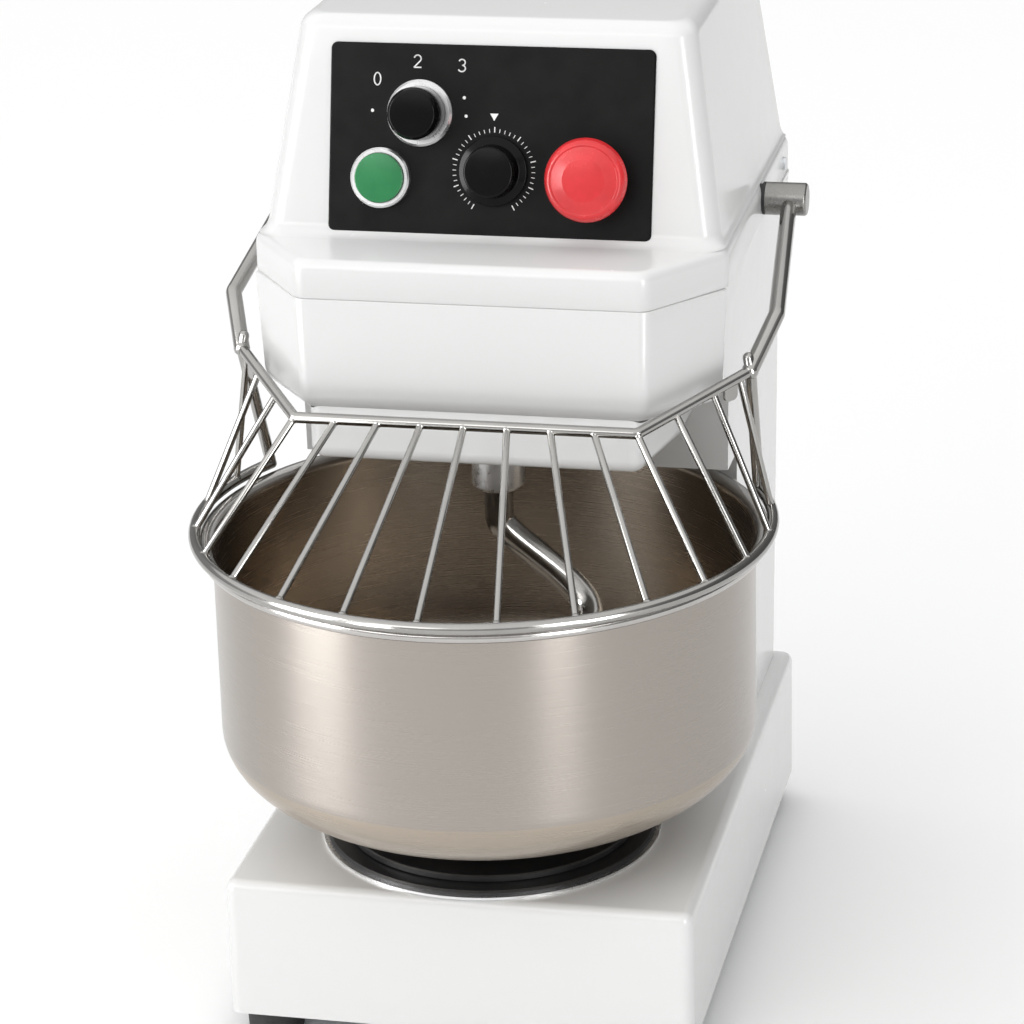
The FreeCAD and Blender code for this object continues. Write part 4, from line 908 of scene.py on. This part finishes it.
def make_print():
    """White marks: the timer's scale, a pointer above it, and plain marks round the selector."""
    scale = Shape()
    centre = Vector((*TIMER_UV, 0))
    for index in range(SCALE_TICKS + 1):
        angle = math.radians(SCALE_FIRST + SCALE_SWEEP * index / SCALE_TICKS)
        across = Vector((math.cos(angle), math.sin(angle), 0))
        far, width = LONG_TICK if index % 5 == 0 else SHORT_TICK
        stroke(scale, centre + across * SCALE_INNER_R, centre + across * far, width / 2)
    slab(scale, POINTER)
    dot_angles = [2 * math.pi * k / 12 for k in range(12)]
    for x, y in DOTS:
        slab(scale, [(x + DOT_R * math.cos(angle), y + DOT_R * math.sin(angle)) for angle in dot_angles])
    scale.piece("panel_marks", PRINT, "machine", "bright_trim")

    numerals = Shape()
    for figure, (x, y) in ((figure_zero, (-77, 38.8)), (figure_two, (-50, 51)), (figure_three, (-20, 49))):
        line = [Vector((x + u, y + v, 0)) for u, v in figure()]
        for start, end in zip(line, line[1:]):
            stroke(numerals, start, end, FIGURE_STROKE / 2, 0.12)
    numerals.piece("panel_numerals", PRINT, "machine", "bright_trim")


def ellipse_line(centre, half_width, half_height, start, end, steps=14):
    """Points along an ellipse between two angles in degrees."""
    points = []
    for step in range(steps + 1):
        angle = math.radians(toward(start, end, step / steps))
        points.append((centre[0] + half_width * math.cos(angle), centre[1] + half_height * math.sin(angle)))
    return points


def figure_zero():
    """Points of the figure 0 about its middle."""
    return ellipse_line((0, 0), 2.2, 4.0, 0, 360, 28)


def figure_two():
    """Points of the figure 2."""
    return ellipse_line((0, 1.7), 2.3, 2.3, 165, -35) + [(-2.4, -4.0), (2.5, -4.0)]


def figure_three():
    """Points of the figure 3."""
    return (ellipse_line((0, 2.0), 2.1, 2.0, 155, -80)
            + ellipse_line((-0.1, -1.9), 2.4, 2.1, 80, -155))


# --- Studio ---------------------------------------------------------------------------------------
def make_floor():
    """A wide plain sheet of pale paper."""
    mesh = bpy.data.meshes.new("floor")
    reach = 14.0
    mesh.from_pydata([(-reach, -reach, 0), (reach, -reach, 0), (reach, reach, 0), (-reach, reach, 0)],
                     [], [(0, 1, 2, 3)])
    n = Nodes("floor_paper")
    n.set(Roughness=0.6)
    mesh.materials.append(n.finish(n.mixed(n.noise(1.5), (0.945, 0.945, 0.945), (0.96, 0.96, 0.96))))
    floor = bpy.data.objects.new("floor", mesh)
    bpy.context.scene.collection.objects.link(floor)


def area_light(name, place, target, size, power, shine_only=False):
    """A soft box that faces its target. A shine-only one shows in reflections and lights nothing matt."""
    light = bpy.data.lights.new(name, "AREA")
    light.shape = "RECTANGLE"
    light.size, light.size_y = size
    light.energy = power
    obj = bpy.data.objects.new(name, light)
    obj.location = place
    obj.rotation_euler = (Vector(target) - Vector(place)).to_track_quat("-Z", "Y").to_euler()
    obj.visible_diffuse = not shine_only
    obj.visible_camera = False
    bpy.context.scene.collection.objects.link(obj)
    return obj


def make_room():
    """White surroundings, brightest towards the front left and above, and dim behind."""
    world = bpy.data.worlds.new("studio")
    bpy.context.scene.world = world
    world.use_nodes = True
    tree = world.node_tree
    direction = tree.nodes.new("ShaderNodeTexCoord").outputs["Generated"]
    facing = tree.nodes.new("ShaderNodeVectorMath")
    facing.operation = "DOT_PRODUCT"
    facing.inputs[1].default_value = (-0.55, -0.7, 0.45)
    tree.links.new(direction, facing.inputs[0])
    shade = tree.nodes.new("ShaderNodeMapRange")
    shade.inputs["From Min"].default_value = -0.7
    shade.inputs["From Max"].default_value = 1.0
    shade.inputs["To Min"].default_value = 0.15
    shade.inputs["To Max"].default_value = 0.72
    tree.links.new(facing.outputs["Value"], shade.inputs["Value"])
    background = tree.nodes["Background"]
    background.inputs["Color"].default_value = (1, 1, 1, 1)
    tree.links.new(shade.outputs["Result"], background.inputs["Strength"])


def make_lights():
    """A wide even sky, a soft box in front, and strips that only show as reflections.

    Two of the strips show only in the guard's rods, and a soft box lights only the head's skirt.
    """
    middle = (0, -0.08, 0.32)
    area_light("key", (-0.9, -2.6, 2.0), middle, (1.4, 1.2), 9.5)
    area_light("left_strip", (-1.845, -1.278, 0.7), middle, (1.0, 1.9), 72, shine_only=True)
    area_light("right_strip", (1.443, -1.74, 0.7), middle, (0.55, 1.9), 25, shine_only=True)
    sun = bpy.data.lights.new("sky", "SUN")
    sun.energy = 1.9
    sun.angle = math.radians(120)
    sky = bpy.data.objects.new("sky", sun)
    sky.rotation_euler = (math.radians(6), math.radians(-8), 0)
    bpy.context.scene.collection.objects.link(sky)

    rods = bpy.data.collections.new("rods")
    for obj in bpy.context.scene.objects:
        if obj.type == "MESH" and BRIGHT.name in obj.data.materials:
            rods.objects.link(obj)
    for name, x, y in (("rod_strip_left", -0.545, -1.15), ("rod_strip_right", 0.96, -0.80)):
        strip = area_light(name, (x, y, 0.25), (0, -0.08, 0.3), (0.28, 0.9), 8, shine_only=True)
        strip.light_linking.receiver_collection = rods

    skirt = bpy.data.collections.new("skirt")
    skirt.objects.link(nodes["head_skirt"])
    fill = area_light("skirt_fill", (0.1, -1.6, 0.22), (0, -0.1, 0.4), (0.8, 0.5), 6)
    fill.visible_glossy = False
    fill.light_linking.receiver_collection = skirt


def make_camera():
    """A long lens at the front right, above the machine, rolled a little."""
    azimuth, elevation, roll = math.radians(12.8), math.radians(20.5), math.radians(-1.5)
    distance = 2.490
    target = Vector((0.0195, -0.080, 0.3494))
    right = Vector((math.cos(azimuth), math.sin(azimuth), 0))
    ahead = Vector((-math.sin(azimuth) * math.cos(elevation), math.cos(azimuth) * math.cos(elevation),
                    -math.sin(elevation)))
    up = right.cross(ahead)
    rolled_right = right * math.cos(roll) + up * math.sin(roll)
    rolled_up = up * math.cos(roll) - right * math.sin(roll)
    camera = bpy.data.cameras.new("camera")
    camera.sensor_width = 36.0
    camera.lens = 131.4
    obj = bpy.data.objects.new("camera", camera)
    turn = Matrix((rolled_right, rolled_up, -ahead)).transposed().to_4x4()
    obj.matrix_world = Matrix.Translation(target - ahead * distance) @ turn
    bpy.context.scene.collection.objects.link(obj)
    bpy.context.scene.camera = obj


paint_nodes()
make_top_cover()
make_nose()
make_bowl()
make_hook()
make_guard()
make_controls()
make_print()
make_floor()
make_room()
make_lights()
make_camera()
bpy.context.scene.view_settings.view_transform = "Standard"
